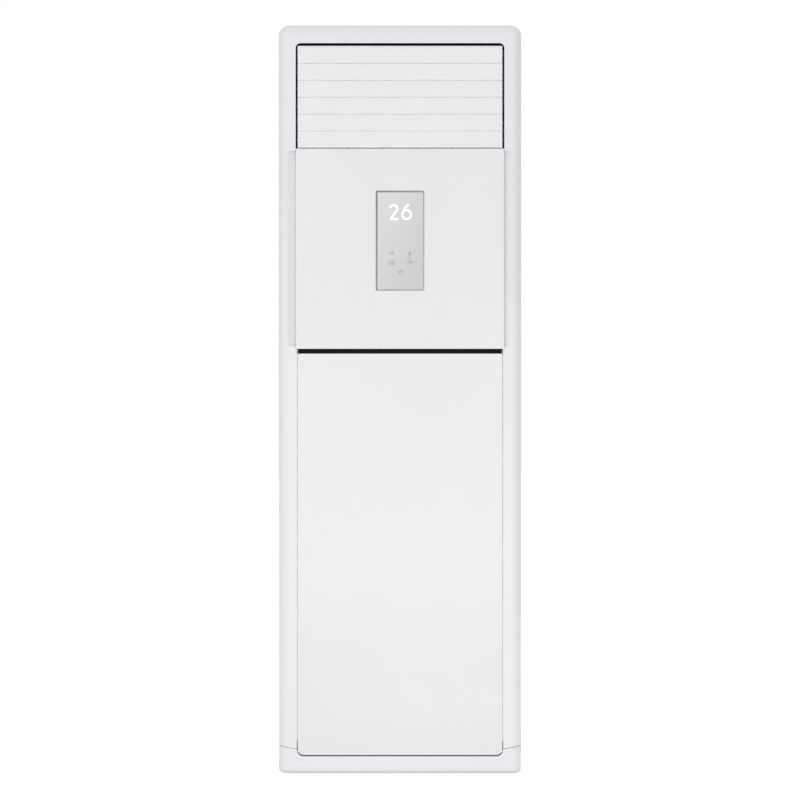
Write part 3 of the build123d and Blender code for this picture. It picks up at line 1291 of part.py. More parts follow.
def board_back():
    """Back face of the main board."""
    return FAN_FRONT - SHEET - BOARD_POST


def board_middle():
    """Middle of the main board, in X and Z."""
    return (SHEET - BOX_HALF + BOARD_INSET + BOARD_HALF, DECK_Z + BOX_BOTTOM + BOX_HEIGHT / 2)


def board_posts():
    """Middles of the main board's four posts."""
    x, z = board_middle()
    dx = BOARD_HALF - 2 * BOARD_POST_RADIUS
    dz = BOARD_HEIGHT / 2 - 2 * BOARD_POST_RADIUS
    return [(x + side * dx, z + level * dz) for side in (-1, 1) for level in (-1, 1)]


def control_box_lid():
    """The control box's lid, a sheet with two screw heads."""
    z0 = DECK_Z + BOX_BOTTOM
    back = FAN_FRONT - BOX_DEPTH
    lid = box(-BOX_HALF, BOX_HALF, back - SHEET, back, z0, z0 + BOX_HEIGHT)
    heads = [rod_y(SCREW_HEAD_RADIUS, back - 2 * SHEET, back - SHEET, x, z0 + BOX_HEIGHT / 2)
             for x in (HEM - BOX_HALF, BOX_HALF - HEM)]
    return lid + heads


def main_board():
    """The main circuit board with its transformer, capacitor and relays."""
    x, z = board_middle()
    back = board_back()
    front = back - BOARD_THICKNESS
    board = box(x - BOARD_HALF, x + BOARD_HALF, front, back, z - BOARD_HEIGHT / 2, z + BOARD_HEIGHT / 2)
    deep = front - PART_HEIGHT
    left = x - BOARD_HALF + RELAY_HEIGHT
    board += box(left, left + TRANSFORMER_WIDTH, deep, front, z - RELAY_HEIGHT / 2, z + RELAY_HEIGHT)
    board += rod_y(CAPACITOR_RADIUS, deep, front, x + CAPACITOR_X, z + RELAY_HEIGHT)
    for index in range(RELAY_COUNT):
        start = x + index * RELAY_PITCH
        board += box(start, start + RELAY_WIDTH, deep + WALL, front, z - RELAY_HEIGHT, z)
    top = z + BOARD_HEIGHT / 2 - RELAY_HEIGHT
    return board + box(x, x + PLUG_WIDTH, front - WALL, front, top, top + PLUG_HEIGHT)


def terminal_block():
    """The terminal block beside the main board, with its row of screws."""
    z = board_middle()[1]
    x = BOX_HALF - TERMINAL_SET
    left = x - TERMINAL_HALF
    right = x + TERMINAL_HALF
    back = FAN_FRONT - SHEET
    front = back - TERMINAL_DEPTH
    half = TERMINAL_COUNT * TERMINAL_PITCH / 2
    block = box(left, right, front, back, z - half, z + half)
    for step in range(TERMINAL_COUNT):
        level = z - half + (step + 0.5) * TERMINAL_PITCH
        block += rod_y(TERMINAL_SCREW_RADIUS, front - TERMINAL_SCREW_RISE, front, x, level)
    for step in range(1, TERMINAL_COUNT):
        low = z - half + step * TERMINAL_PITCH - TERMINAL_WALL / 2
        block += box(left, right, front - TERMINAL_WALL_RISE, front, low, low + TERMINAL_WALL)
    return block


# ---- Door ----
def door_outline(inset):
    """The door's outline, drawn in by inset, with round lower corners."""
    half = DOOR_HALF - inset
    outline = rect(-half, half, DOOR_BOTTOM + inset, DOOR_TOP - inset)
    return fillet(outline.vertices().group_by(Axis.Y)[0], DOOR_RADIUS - inset)


def lower_panel():
    """The door: a flat panel with returns, level ribs, hinge holes and bosses for the strikes."""
    back = FRONT_Y + PANEL_DEPTH
    inner = FRONT_Y + WALL
    door = along_y(door_outline(0), FRONT_Y, back)
    door = fillet(door.faces().sort_by(Axis.Y)[0].edges(), DOOR_EDGE_ROUND)
    door -= along_y(door_outline(WALL), inner, back)
    count = int(DOOR_HEIGHT / DOOR_RIB_PITCH)
    ribs = [rect(WALL - DOOR_HALF, DOOR_HALF - WALL, level - SHEET, level + SHEET)
            for level in [DOOR_BOTTOM + (row + 0.5) * DOOR_RIB_PITCH for row in range(count)]]
    door += along_y(Sketch() + ribs, inner, inner + DOOR_RIB_DEPTH)
    bosses = [catch_rect(x) for x in (-CATCH_X, CATCH_X)]
    door += along_y(Sketch() + bosses, inner, inner + STRIKE_BOSS)
    hole = HINGE_PIN_RADIUS + PIN_CLEARANCE
    return door - pair(rod_x(hole, DOOR_HALF - 4 * WALL, DOOR_HALF, HINGE_Y, HINGE_Z))


def catch_rect(x):
    """The outline of a catch, about its middle."""
    z = DOOR_TOP - CATCH_DROP
    return rect(x - CATCH_WIDTH / 2, x + CATCH_WIDTH / 2, z - CATCH_HEIGHT / 2, z + CATCH_HEIGHT / 2)


def strike_plates():
    """Two steel plates on the door's bosses, which the magnets hold."""
    seat = FRONT_Y + WALL + STRIKE_BOSS
    return Compound([along_y(catch_rect(x), seat, seat + STRIKE_THICKNESS) for x in (-CATCH_X, CATCH_X)])


def door_magnets():
    """Two magnets on the frame's cross plate."""
    front = FRONT_Y + WALL + STRIKE_BOSS + STRIKE_THICKNESS + CATCH_GAP
    return Compound([along_y(catch_rect(x), front, BAR_FRONT) for x in (-CATCH_X, CATCH_X)])


def door_seals():
    """Pale soft strips on the jambs, which close the gaps beside the door just behind its face."""
    front = FRAME_Y + SEAL_SET
    strip = box(DOOR_HALF + SEAL_GAP, DOOR_OPENING_HALF, front, front + SEAL_DEPTH,
                DOOR_BOTTOM + SEAL_RISE, DOOR_TOP - SEAL_DROP)
    return Compound(pair(strip))


def door_hinge_pins():
    """The two pins that the door turns on, fixed in the plinth's ears."""
    end = DOOR_OPENING_HALF + EAR_WIDTH
    pin = rod_x(HINGE_PIN_RADIUS, end - HINGE_PIN_LENGTH, end, HINGE_Y, HINGE_Z)
    return Compound(pair(chamfer(pin.edges().group_by(Axis.X)[0], PIN_CHAMFER)))


# ---- Every sub-part, written to a file of its own ----
def build_nodes():
    """All sub-parts by name."""
    shell = front_shell()
    right_side = side_panel()
    nodes = {
        "plinth_cover": shell & below_seam(0),
        "front_frame": group(shell - below_seam(PARTING_GAP), cross_plate()),
        "right_side_panel": right_side,
        "left_side_panel": mirrored(right_side),
    }
    makers = (
        middle_panel, display_window, display_board, slot_trim, base_pan, levelling_feet, rear_panel,
        wall_bracket, top_cover, cabinet_screws, pipe_grommet, outlet_duct, stepper_motors, louvre_link,
        vane_link, scroll_front, scroll_casing, blower_wheel, wheel_blades, motor_shaft, wheel_nut,
        motor_bracket, fan_motor, fan_deck, intake_grille, filter_frame, filter_mesh, evaporator_core,
        evaporator_end_plates, return_bends, refrigerant_pipes, drain_pan, drain_hose, flare_nuts,
        inner_liner, control_box, control_box_lid, main_board, terminal_block, lower_panel,
        strike_plates, door_magnets, door_hinge_pins, door_seals,
    )
    for maker in makers:
        nodes[maker.__name__] = maker()
    for index in range(1, LOUVRE_COUNT + 1):
        nodes[f"louvre_{index}"] = louvre(index)
    for index in range(1, VANE_COUNT + 1):
        nodes[f"vane_{index}"] = vane(index)
    return nodes


os.makedirs("parts", exist_ok=True)
for name, shape in build_nodes().items():
    export_step(shape, f"parts/{name}.step")
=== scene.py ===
import json
from math import atan2, cos, pi, radians, sin

import bmesh
import bpy
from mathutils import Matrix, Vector

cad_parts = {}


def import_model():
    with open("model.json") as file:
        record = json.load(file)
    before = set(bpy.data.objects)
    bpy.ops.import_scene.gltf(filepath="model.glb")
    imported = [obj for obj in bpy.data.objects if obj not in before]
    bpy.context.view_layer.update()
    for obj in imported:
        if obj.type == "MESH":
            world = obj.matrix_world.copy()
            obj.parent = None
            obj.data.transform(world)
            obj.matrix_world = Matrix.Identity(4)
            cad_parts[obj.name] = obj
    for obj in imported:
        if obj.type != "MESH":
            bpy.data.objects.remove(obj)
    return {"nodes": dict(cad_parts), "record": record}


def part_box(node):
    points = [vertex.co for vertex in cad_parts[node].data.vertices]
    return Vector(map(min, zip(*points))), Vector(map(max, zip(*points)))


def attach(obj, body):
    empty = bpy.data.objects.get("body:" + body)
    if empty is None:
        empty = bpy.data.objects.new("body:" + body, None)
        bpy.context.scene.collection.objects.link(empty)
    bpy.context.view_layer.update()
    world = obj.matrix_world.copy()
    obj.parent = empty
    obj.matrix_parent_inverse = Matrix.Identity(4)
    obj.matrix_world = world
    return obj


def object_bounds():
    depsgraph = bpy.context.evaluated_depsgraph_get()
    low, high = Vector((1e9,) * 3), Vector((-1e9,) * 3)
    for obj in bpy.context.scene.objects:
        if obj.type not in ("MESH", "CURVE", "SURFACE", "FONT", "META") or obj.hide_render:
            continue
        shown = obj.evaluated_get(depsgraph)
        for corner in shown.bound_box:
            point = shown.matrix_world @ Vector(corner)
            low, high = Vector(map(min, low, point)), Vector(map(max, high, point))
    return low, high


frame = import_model()
CAD_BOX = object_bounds()
NODES = frame["nodes"]

MM = 0.001                    # metres

# ---- The photograph's frame ----
PICTURE = 800                 # pixels each way
TOP_PIXEL = 25.5              # the cabinet's top edge
BOTTOM_PIXEL = 772.8          # its bottom edge
LENS = 135.0                  # millimetres, on a sensor 36 mm wide
SENSOR = 36.0                 # millimetres
OUTLINE_DEPTH = 26.0 * MM     # how far behind the foremost plane the cabinet is widest

# ---- The light ----
FRONT_STRENGTH = 1.05         # of the world's light, from the front and above
BACK_STRENGTH = 0.42          # and from behind
BACK_TILT = -0.85             # how far that fade leans from straight behind to behind and below
FLOOR_REACH = 30.0            # metres each way
FLOOR_TONE = 0.82             # the part of the light that the floor gives back
FLOOR_LIFT = 0.6              # its glow for the camera and for mirrors
# name, place, target (metres), side (metres), watts, whether glossy surfaces mirror it
LIGHTS = (
    ("front", (-0.4, -6.5, 1.0), (0.0, 0.0, 0.7), 4.0, 58, True),
    ("low", (0.0, -2.0, 0.1), (0.0, 0.0, 0.06), 0.8, 6, False),
    ("key", (-3.6, -3.2, 1.5), (0.0, 0.0, 0.9), 2.5, 15, True),
    ("back", (1.5, 4.5, 3.0), (0.0, 0.0, 1.0), 3.0, 80, False),
)

# ---- The display, measured in the photograph ----
BEZEL_RIM = 0.35 * MM         # its reach past the window's edge
BEZEL_SETBACK = 0.04 * MM     # its outer edge, behind the middle panel's face
BEZEL_CORNER = 3.0 * MM       # radius
BEZEL_CORNER_LEAST = 0.5 * MM
BEZEL_WIDE = 4.1 * MM         # its slope along the top and the left
BEZEL_NARROW = 2.7 * MM       # and along the foot and the right
BEZEL_LIP = 0.15 * MM         # its inner edge, before the plate
DIGIT_PEN = 4.4 * MM
DIGIT_BASE = 1.367            # metres above the floor
DIGIT_HEIGHT = 0.12 * MM      # how far the face stands before the plate
CROSSING_HEIGHT = 0.14 * MM   # the same for a stroke that lies over another
DIGIT_DEPTH = 0.2 * MM        # from the face back
GLYPH_PEN = 1.7 * MM
GLYPH_HEIGHT = 0.06 * MM
GLYPH_DEPTH = 0.1 * MM
END_STEPS = (25, 50, 72)      # degrees round a stroke's end


def srgb(red, green, blue):
    """A colour given as screen values from 0 to 255, in linear light."""
    def linear(value):
        value /= 255
        return value / 12.92 if value <= 0.04045 else ((value + 0.055) / 1.055) ** 2.4
    return (linear(red), linear(green), linear(blue), 1.0)


# ---- Materials ----
class Surface:
    """A material. Its colour, roughness and relief come from textures in the object's frame."""

    def __init__(self, name, roughness, metallic=0.0):
        self.material = bpy.data.materials.new(name)
        self.material.use_nodes = True
        self.tree = self.material.node_tree
        self.shader = self.tree.nodes["Principled BSDF"]
        self.shader.inputs["Roughness"].default_value = roughness
        self.shader.inputs["Metallic"].default_value = metallic
        self.roughness = roughness
        self.place = self.node("ShaderNodeTexCoord").outputs["Object"]
        self.normal = None

    def node(self, kind, **values):
        """A new node, with values for its settings or its sockets."""
        made = self.tree.nodes.new(kind)
        for name, value in values.items():
            if hasattr(made, name):
                setattr(made, name, value)
            else:
                made.inputs[name].default_value = value
        return made

    def link(self, output, target):
        self.tree.links.new(output, target)

    def spread(self, stretch):
        """The place, stretched along X, Y and Z, for textures with a direction."""
        mapping = self.node("ShaderNodeMapping")
        mapping.inputs["Scale"].default_value = stretch
        self.link(self.place, mapping.inputs["Vector"])
        return mapping.outputs["Vector"]

    def noise(self, scale, detail=3.0, stretch=None):
        """A soft noise. Scale is in waves per metre."""
        texture = self.node("ShaderNodeTexNoise", Scale=scale, Detail=detail)
        self.link(self.spread(stretch) if stretch else self.place, texture.inputs["Vector"])
        return texture.outputs["Fac"]

    def cells(self, scale, output="Color", stretch=None):
        """Voronoi cells. Scale is in cells per metre."""
        texture = self.node("ShaderNodeTexVoronoi", Scale=scale)
        self.link(self.spread(stretch) if stretch else self.place, texture.inputs["Vector"])
        return texture.outputs[output]

    def waves(self, scale, direction):
        """Straight sine waves along X, Y or Z: 3.2 of them per metre for each 1 of scale."""
        texture = self.node("ShaderNodeTexWave", Scale=scale)
        texture.bands_direction = direction
        self.link(self.place, texture.inputs["Vector"])
        return texture.outputs["Fac"]

    def height(self, low, high):
        """0 at the height low and 1 at the height high, in metres, whichever is the upper."""
        split = self.node("ShaderNodeSeparateXYZ")
        self.link(self.place, split.inputs[0])
        return self.ramp(split.outputs["Z"], low, high)

    def ramp(self, source, low, high, to_low=0.0, to_high=1.0):
        """Maps a value from low..high to to_low..to_high, smoothly and clamped."""
        mapper = self.node("ShaderNodeMapRange")
        mapper.interpolation_type = "SMOOTHSTEP"
        for name, value in (("From Min", low), ("From Max", high),
                            ("To Min", to_low), ("To Max", to_high)):
            mapper.inputs[name].default_value = value
        self.link(source, mapper.inputs["Value"])
        return mapper.outputs["Result"]

    def mix(self, amount, first, second):
        """Mixes two colours, each a fixed colour or an output."""
        mixer = self.node("ShaderNodeMix")
        mixer.data_type = "RGBA"
        self.link(amount, mixer.inputs[0])
        for socket, value in ((mixer.inputs[6], first), (mixer.inputs[7], second)):
            if hasattr(value, "links"):
                self.link(value, socket)
            else:
                socket.default_value = value
        return mixer.outputs[2]

    def math(self, operation, first, second):
        """One sum of two values, each a number or an output."""
        made = self.node("ShaderNodeMath")
        made.operation = operation
        for socket, value in zip(made.inputs, (first, second)):
            if hasattr(value, "links"):
                self.link(value, socket)
            else:
                socket.default_value = value
        return made.outputs[0]

    def colour(self, output):
        """The base colour, from an output."""
        self.link(output, self.shader.inputs["Base Color"])
        return self

    def rough(self, source, spread):
        """Roughness that wanders by spread each way."""
        low, high = max(0.02, self.roughness - spread), self.roughness + spread
        self.link(self.ramp(source, 0.3, 0.7, low, high), self.shader.inputs["Roughness"])
        return self

    def relief(self, source, distance, strength=1.0):
        """Fine relief, stacked on any relief set before. Distance is in metres."""
        bump = self.node("ShaderNodeBump", Distance=distance, Strength=strength)
        self.link(source, bump.inputs["Height"])
        if self.normal is not None:
            self.link(self.normal, bump.inputs["Normal"])
        self.normal = bump.outputs["Normal"]
        self.link(self.normal, self.shader.inputs["Normal"])
        return self

    def set(self, **values):
        """Fixed values on the shader's own sockets."""
        for name, value in values.items():
            self.shader.inputs[name.replace("_", " ")].default_value = value
        return self


def shade(colour, factor):
    """A colour made lighter or darker by a factor."""
    return tuple(channel * factor for channel in colour[:3]) + (1.0,)


def moulded(name, colour, roughness, grain=2200, grain_depth=0.00002, coat=0.0):
    """Injection moulded plastic: a fine even grain, faint flow marks and slightly uneven gloss."""
    surface = Surface(name, roughness)
    flow = surface.noise(2.2, 2.0, (1.0, 1.0, 0.45))
    tone = surface.mix(surface.ramp(flow, 0.3, 0.7), shade(colour, 0.985), shade(colour, 1.01))
    surface.colour(tone)
    surface.rough(surface.noise(14, 3.0), 0.05)
    surface.relief(surface.noise(grain, 2.0), grain_depth)
    surface.relief(surface.noise(9, 2.0), 0.0004, 0.25)
    if coat:
        surface.set(Coat_Weight=coat, Coat_Roughness=0.08)
    return surface.material


def louvre_plastic(name, colour):
    """White blades whose pins, beyond the blades' ends, are moulded from dark plastic."""
    surface = Surface(name, 0.32)
    split = surface.node("ShaderNodeSeparateXYZ")
    surface.link(surface.place, split.inputs[0])
    pins = surface.node("ShaderNodeMath", operation="GREATER_THAN")
    surface.link(surface.math("ABSOLUTE", split.outputs["X"], 0.0), pins.inputs[0])
    pins.inputs[1].default_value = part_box("lower_panel")[1].x + 0.05 * MM
    flow = surface.noise(2.6, 1.0, (0.5, 1.0, 1.0))
    tone = surface.mix(surface.ramp(flow, 0.2, 0.8), shade(colour, 0.99), shade(colour, 1.01))
    surface.colour(surface.mix(pins.outputs[0], tone, srgb(26, 26, 28)))
    surface.rough(surface.noise(6, 1.0), 0.03)
    surface.relief(surface.noise(2000, 2.0), 0.00001)
    return surface.set(Coat_Weight=0.15, Coat_Roughness=0.08).material


def painted_sheet(name, colour):
    """Powder coated sheet steel: orange peel relief over a very slightly uneven sheet, with a
    trace of dust near the floor."""
    surface = Surface(name, 0.42)
    tone = surface.noise(1.6, 2.0)
    body = surface.mix(surface.ramp(tone, 0.3, 0.7), shade(colour, 0.98), shade(colour, 1.01))
    dust_share, dust_top = 0.14, 0.16
    patches = surface.ramp(surface.noise(30, 4.0), 0.35, 0.75)
    dust = surface.math("MULTIPLY", patches, dust_share)
    low = surface.math("MULTIPLY", dust, surface.height(dust_top, 0.0))
    surface.colour(surface.mix(low, body, srgb(196, 192, 184)))
    surface.rough(surface.noise(40, 3.0), 0.07)
    surface.relief(surface.noise(420, 2.0), 0.00007)
    surface.relief(surface.noise(4, 1.0), 0.0012, 0.3)
    return surface.set(Coat_Weight=0.25, Coat_Roughness=0.2).material


def galvanised(name):
    """Zinc coated steel with its pattern of crystals."""
    surface = Surface(name, 0.42, 0.9)
    crystal = surface.cells(75, "Color", (1.0, 1.0, 0.8))
    fine = surface.cells(230, "Color")
    value = surface.node("ShaderNodeSeparateColor")
    surface.link(crystal, value.inputs[0])
    split = surface.node("ShaderNodeSeparateColor")
    surface.link(fine, split.inputs[0])
    tone = surface.mix(value.outputs[0], srgb(158, 164, 170), srgb(196, 200, 204))
    speckle = surface.ramp(split.outputs[1], 0.0, 1.0, 0.0, 0.35)
    surface.colour(surface.mix(speckle, tone, srgb(178, 182, 186)))
    gloss = surface.ramp(value.outputs[1], 0.0, 1.0, 0.32, 0.5)
    surface.link(gloss, surface.shader.inputs["Roughness"])
    surface.relief(value.outputs[0], 0.00003)
    return surface.material


def bright_metal(name, colour, roughness, scratch=60.0, metallic=1.0, tarnish=None):
    """Drawn or turned metal with fine scratches, and tarnish where a colour for it is given."""
    surface = Surface(name, roughness, metallic)
    streak = surface.noise(scratch, 4.0, (1.0, 1.0, 14.0))
    tone = surface.mix(surface.ramp(streak, 0.35, 0.65), shade(colour, 0.9), colour)
    if tarnish:
        spots = surface.ramp(surface.noise(22, 5.0), 0.52, 0.68)
        tone = surface.mix(spots, tone, tarnish)
    surface.colour(tone)
    surface.rough(streak, 0.08)
    surface.relief(streak, 0.00002)
    return surface.material


def fins(name):
    """The coil's thin aluminium fins, ribbed along their length."""
    surface = Surface(name, 0.38, 0.85)
    wave = surface.waves(75, "Z")
    surface.colour(surface.mix(wave, srgb(168, 178, 188), srgb(208, 213, 218)))
    surface.rough(surface.noise(60, 3.0), 0.08)
    surface.relief(wave, 0.0003, 0.6)
    return surface.material


def circuit_board(name):
    """A lacquered green board with copper tracks under the lacquer."""
    surface = Surface(name, 0.3)
    tracks = surface.node("ShaderNodeTexBrick", Scale=90.0)
    tracks.inputs["Mortar Size"].default_value = 0.05
    tracks.inputs["Color1"].default_value = srgb(22, 96, 54)
    tracks.inputs["Color2"].default_value = srgb(28, 108, 60)
    tracks.inputs["Mortar"].default_value = srgb(70, 142, 84)
    turn = surface.node("ShaderNodeMapping")
    turn.inputs["Rotation"].default_value = (pi / 2, 0, 0)
    surface.link(surface.place, turn.inputs["Vector"])
    surface.link(turn.outputs["Vector"], tracks.inputs["Vector"])
    pads = surface.ramp(surface.cells(210, "Distance"), 0.16, 0.1)
    surface.colour(surface.mix(pads, tracks.outputs["Color"], srgb(176, 178, 172)))
    surface.rough(surface.noise(120, 2.0), 0.1)
    return surface.relief(tracks.outputs["Fac"], 0.00006).material


def net(name):
    """The filter's woven net: crossing threads with darker holes between them."""
    surface = Surface(name, 0.75)
    across = surface.waves(260, "X")
    upright = surface.waves(260, "Z")
    threads = surface.math("MAXIMUM", across, upright)
    dusty = surface.ramp(surface.noise(7, 4.0), 0.45, 0.8, 0.0, 0.3)
    weave = surface.mix(surface.ramp(threads, 0.45, 0.8), srgb(58, 66, 78), srgb(122, 134, 150))
    surface.colour(surface.mix(dusty, weave, srgb(150, 150, 148)))
    return surface.relief(threads, 0.0004).material


def soft_dark(name, colour, roughness, grain=600):
    """Rubber or dull black plastic with a fine grain and a trace of dust."""
    surface = Surface(name, roughness)
    dust = surface.ramp(surface.noise(26, 5.0), 0.5, 0.85, 0.0, 0.18)
    surface.colour(surface.mix(dust, colour, srgb(120, 118, 114)))
    surface.rough(surface.noise(60, 3.0), 0.08)
    return surface.relief(surface.noise(grain, 2.0), 0.00006).material


def black_gloss(name):
    """Piano black plastic with faint wipe marks."""
    surface = Surface(name, 0.3)
    wipe = surface.noise(16, 4.0, (1.0, 1.0, 6.0))
    surface.colour(surface.mix(surface.ramp(wipe, 0.45, 0.8), srgb(8, 8, 9), srgb(16, 16, 18)))
    surface.rough(wipe, 0.06)
    return surface.set(IOR=1.17).material


def display_plate(name):
    """The display's pale plate: frosted behind a clear face, with painted shade that makes it a
    little darker to the lower right.
    """
    surface = Surface(name, 0.22)
    split = surface.node("ShaderNodeSeparateXYZ")
    surface.link(surface.place, split.inputs[0])
    # Painted shade: the plate's colour darkens from its upper left to its lower right, as light
    # falls across the panel.
    lean = 0.55
    drop = surface.math("MULTIPLY", split.outputs["Z"], lean)
    shade_slant = surface.math("SUBTRACT", split.outputs["X"], drop)
    low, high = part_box("display_window")
    fade = surface.ramp(shade_slant, low.x - lean * high.z, high.x - lean * low.z)
    body = surface.mix(fade, srgb(217, 218, 214), srgb(197, 198, 197))
    frost = surface.ramp(surface.noise(1500, 2.0), 0.3, 0.7, 0.0, 0.12)
    surface.colour(surface.mix(frost, body, srgb(198, 198, 194)))
    surface.rough(surface.noise(40, 2.0), 0.04)
    return surface.set(Coat_Weight=0.5, Coat_Roughness=0.05).material


def bezel_finish(name):
    """The window frame's grey plastic, with painted shade over it: darkest at its upper left
    corner, lighter to the lower right.
    """
    surface = Surface(name, 0.3)
    split = surface.node("ShaderNodeSeparateXYZ")
    surface.link(surface.place, split.inputs[0])
    # Painted shade: darker towards the upper left, where the frame's slope lies in shade, and
    # lighter towards the lower right.
    lean = 2.2
    across = surface.math("MULTIPLY", split.outputs["X"], lean)
    shade_slant = surface.math("SUBTRACT", across, split.outputs["Z"])
    low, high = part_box("display_window")
    fade = surface.ramp(shade_slant, lean * low.x - high.z, lean * high.x - low.z)
    body = surface.mix(fade, srgb(136, 137, 136), srgb(176, 177, 175))
    streak = surface.ramp(surface.noise(120, 3.0), 0.3, 0.7, 0.0, 0.12)
    surface.colour(surface.mix(streak, body, srgb(120, 121, 120)))
    return surface.rough(surface.noise(90, 2.0), 0.05).material


def glow(name, colour, strength):
    """A lit digit: white, softly uneven, and giving a little light of its own."""
    surface = Surface(name, 0.35)
    uneven = surface.ramp(surface.noise(300, 2.0), 0.3, 0.7)
    surface.colour(surface.mix(uneven, shade(colour, 0.96), colour))
    light = surface.mix(uneven, shade(colour, 0.94), colour)
    surface.link(light, surface.shader.inputs["Emission Color"])
    return surface.set(Emission_Strength=strength).material


def foam(name):
    """Moulded bead foam."""
    surface = Surface(name, 0.85)
    bead = surface.cells(260, "Distance")
    edge = surface.ramp(bead, 0.1, 0.7)
    surface.colour(surface.mix(edge, srgb(232, 233, 234), srgb(200, 202, 204)))
    return surface.relief(bead, 0.0004).material


FRAME_WHITE = srgb(234, 235, 238)
PANEL_WHITE = srgb(231, 231, 231)
LOUVRE_WHITE = srgb(237, 238, 240)
SHEET_WHITE = srgb(235, 236, 238)

# One finish for each material slot of the record
FINISHES = {
    "frame_white": moulded("frame_white", FRAME_WHITE, 0.34, 1800, 0.00003, 0.15),
    "panel_white": moulded("panel_white", PANEL_WHITE, 0.2, 3000, 0.000008, 0.45),
    "louvre_white": louvre_plastic("louvre_white", LOUVRE_WHITE),
    "display_plate": display_plate("display_plate"),
    "trim_black": black_gloss("trim_black"),
    "painted_sheet": painted_sheet("painted_sheet", SHEET_WHITE),
    "galvanised_sheet": galvanised("galvanised_sheet"),
    "duct_black": soft_dark("duct_black", srgb(22, 22, 25), 0.6),
    "motor_housing": bright_metal("motor_housing", srgb(196, 198, 200), 0.35),
    "fan_motor_steel": soft_dark("fan_motor_steel", srgb(62, 64, 68), 0.45, 350),
    "wheel_plastic": soft_dark("wheel_plastic", srgb(38, 39, 42), 0.5),
    "steel_bright": bright_metal("steel_bright", srgb(214, 216, 218), 0.22, 90),
    "coil_aluminium": fins("coil_aluminium"),
    "copper": bright_metal("copper", srgb(214, 140, 104), 0.26, 50, 1.0, srgb(150, 88, 62)),
    "nut_brass": bright_metal("nut_brass", srgb(214, 182, 112), 0.25, 70, 1.0, srgb(168, 134, 76)),
    "hose_grey": soft_dark("hose_grey", srgb(176, 178, 180), 0.55),
    "rubber_black": soft_dark("rubber_black", srgb(30, 30, 31), 0.7, 420),
    "grille_white": moulded("grille_white", srgb(222, 225, 229), 0.5, 1500, 0.00004),
    "filter_net": net("filter_net"),
    "board_green": circuit_board("board_green"),
    "terminal_cream": moulded("terminal_cream", srgb(226, 220, 196), 0.45),
    "foam_grey": foam("foam_grey"),
    "magnet_black": soft_dark("magnet_black", srgb(52, 52, 54), 0.5, 500),
    "seal_pale": moulded("seal_pale", srgb(238, 239, 240), 0.6, 900, 0.00005),
}
DIGIT_WHITE = glow("digit_white", srgb(255, 255, 253), 0.35)
GLYPH_GREY = moulded("glyph_grey", srgb(160, 161, 157), 0.5)
BEZEL_GREY = bezel_finish("bezel_grey")


def dress_nodes():
    """Gives every CAD node the finish of its material slot."""
    slots = {entry["node"]: entry["material_slot"] for entry in frame["record"]["subparts"]}
    for name, node in NODES.items():
        node.data.materials.clear()
        node.data.materials.append(FINISHES[slots[name]])


# ---- Mesh helpers ----
def piece(name, build, material, body="cabinet"):
    """A new mesh object, filled by build(bmesh), that rides on a body."""
    mesh = bpy.data.meshes.new(name)
    made = bpy.data.objects.new(name, mesh)
    bpy.context.scene.collection.objects.link(made)
    shape = bmesh.new()
    build(shape)
    bmesh.ops.recalc_face_normals(shape, faces=shape.faces)
    shape.to_mesh(mesh)
    shape.free()
    mesh.materials.append(material)
    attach(made, body)
    return made


def smooth(made, angle=40):
    """Smooth shading, with edges sharper than the angle kept crisp."""
    made.data.polygons.foreach_set("use_smooth", [True] * len(made.data.polygons))
    made.data.set_sharp_from_angle(angle=radians(angle))
    return made


def rounded_loop(low_x, high_x, low_z, high_z, radius, steps=6):
    """Points anticlockwise round a rectangle in X and Z with rounded corners, from its lower
    right corner."""
    corners = ((high_x - radius, low_z + radius, -90), (high_x - radius, high_z - radius, 0),
               (low_x + radius, high_z - radius, 90), (low_x + radius, low_z + radius, 180))
    points = []
    for x, z, start in corners:
        for step in range(steps + 1):
            turn = radians(start + 90 * step / steps)
            points.append((x + radius * cos(turn), z + radius * sin(turn)))
    return points


def skin_loops(shape, loops, closed):
    """Joins loops of points into a surface, and the last loop to the first where it is closed."""
    rows = [[shape.verts.new(point) for point in loop] for loop in loops]
    pairs = list(zip(rows, rows[1:]))
    if closed:
        pairs.append((rows[-1], rows[0]))
    for first, second in pairs:
        for index in range(len(first)):
            after = (index + 1) % len(first)
            shape.faces.new((first[index], first[after], second[after], second[index]))
    return rows


def stroke(shape, points, width, front, depth):
    """A flat pen stroke in X and Z, from the plane front back by depth. Its ends are round, or it
    closes on itself where its last point is its first."""
    half = width / 2
    places = [Vector(point) for point in points]
    closed = (places[-1] - places[0]).length < 1e-6
    runs = [after - before for before, after in zip(places, places[1:])]
    turns = [atan2(run.y, run.x) for run in runs]
    sections = []
    for index, place in enumerate(places[:-1] if closed else places):
        before = turns[index - 1] if index or closed else turns[0]
        after = turns[min(index, len(turns) - 1)]
        bend = (after - before + pi) % (2 * pi) - pi
        sections.append((place, before + bend / 2, half / cos(bend / 2)))
    if not closed:
        for angle in END_STEPS:
            out, reach = half * sin(radians(angle)), half * cos(radians(angle))
            first, last = (Vector((cos(turn), sin(turn))) * out for turn in (turns[0], turns[-1]))
            sections.insert(0, (places[0] - first, turns[0], reach))
            sections.append((places[-1] + last, turns[-1], reach))
    loops = []
    back = front + depth
    for place, turn, reach in sections:
        side = Vector((-sin(turn), cos(turn))) * reach
        (left, top), (right, foot) = place + side, place - side
        loops.append([(left, front, top), (right, front, foot),
                      (right, back, foot), (left, back, top)])
    rows = skin_loops(shape, loops, closed)
    if not closed:
        shape.faces.new(rows[0])
        shape.faces.new(rows[-1])


def arc(x, z, radius, start, end, steps=14):
    """Points along an arc, in degrees."""
    angles = [radians(start + (end - start) * step / steps) for step in range(steps + 1)]
    return [(x + radius * cos(angle), z + radius * sin(angle)) for angle in angles]


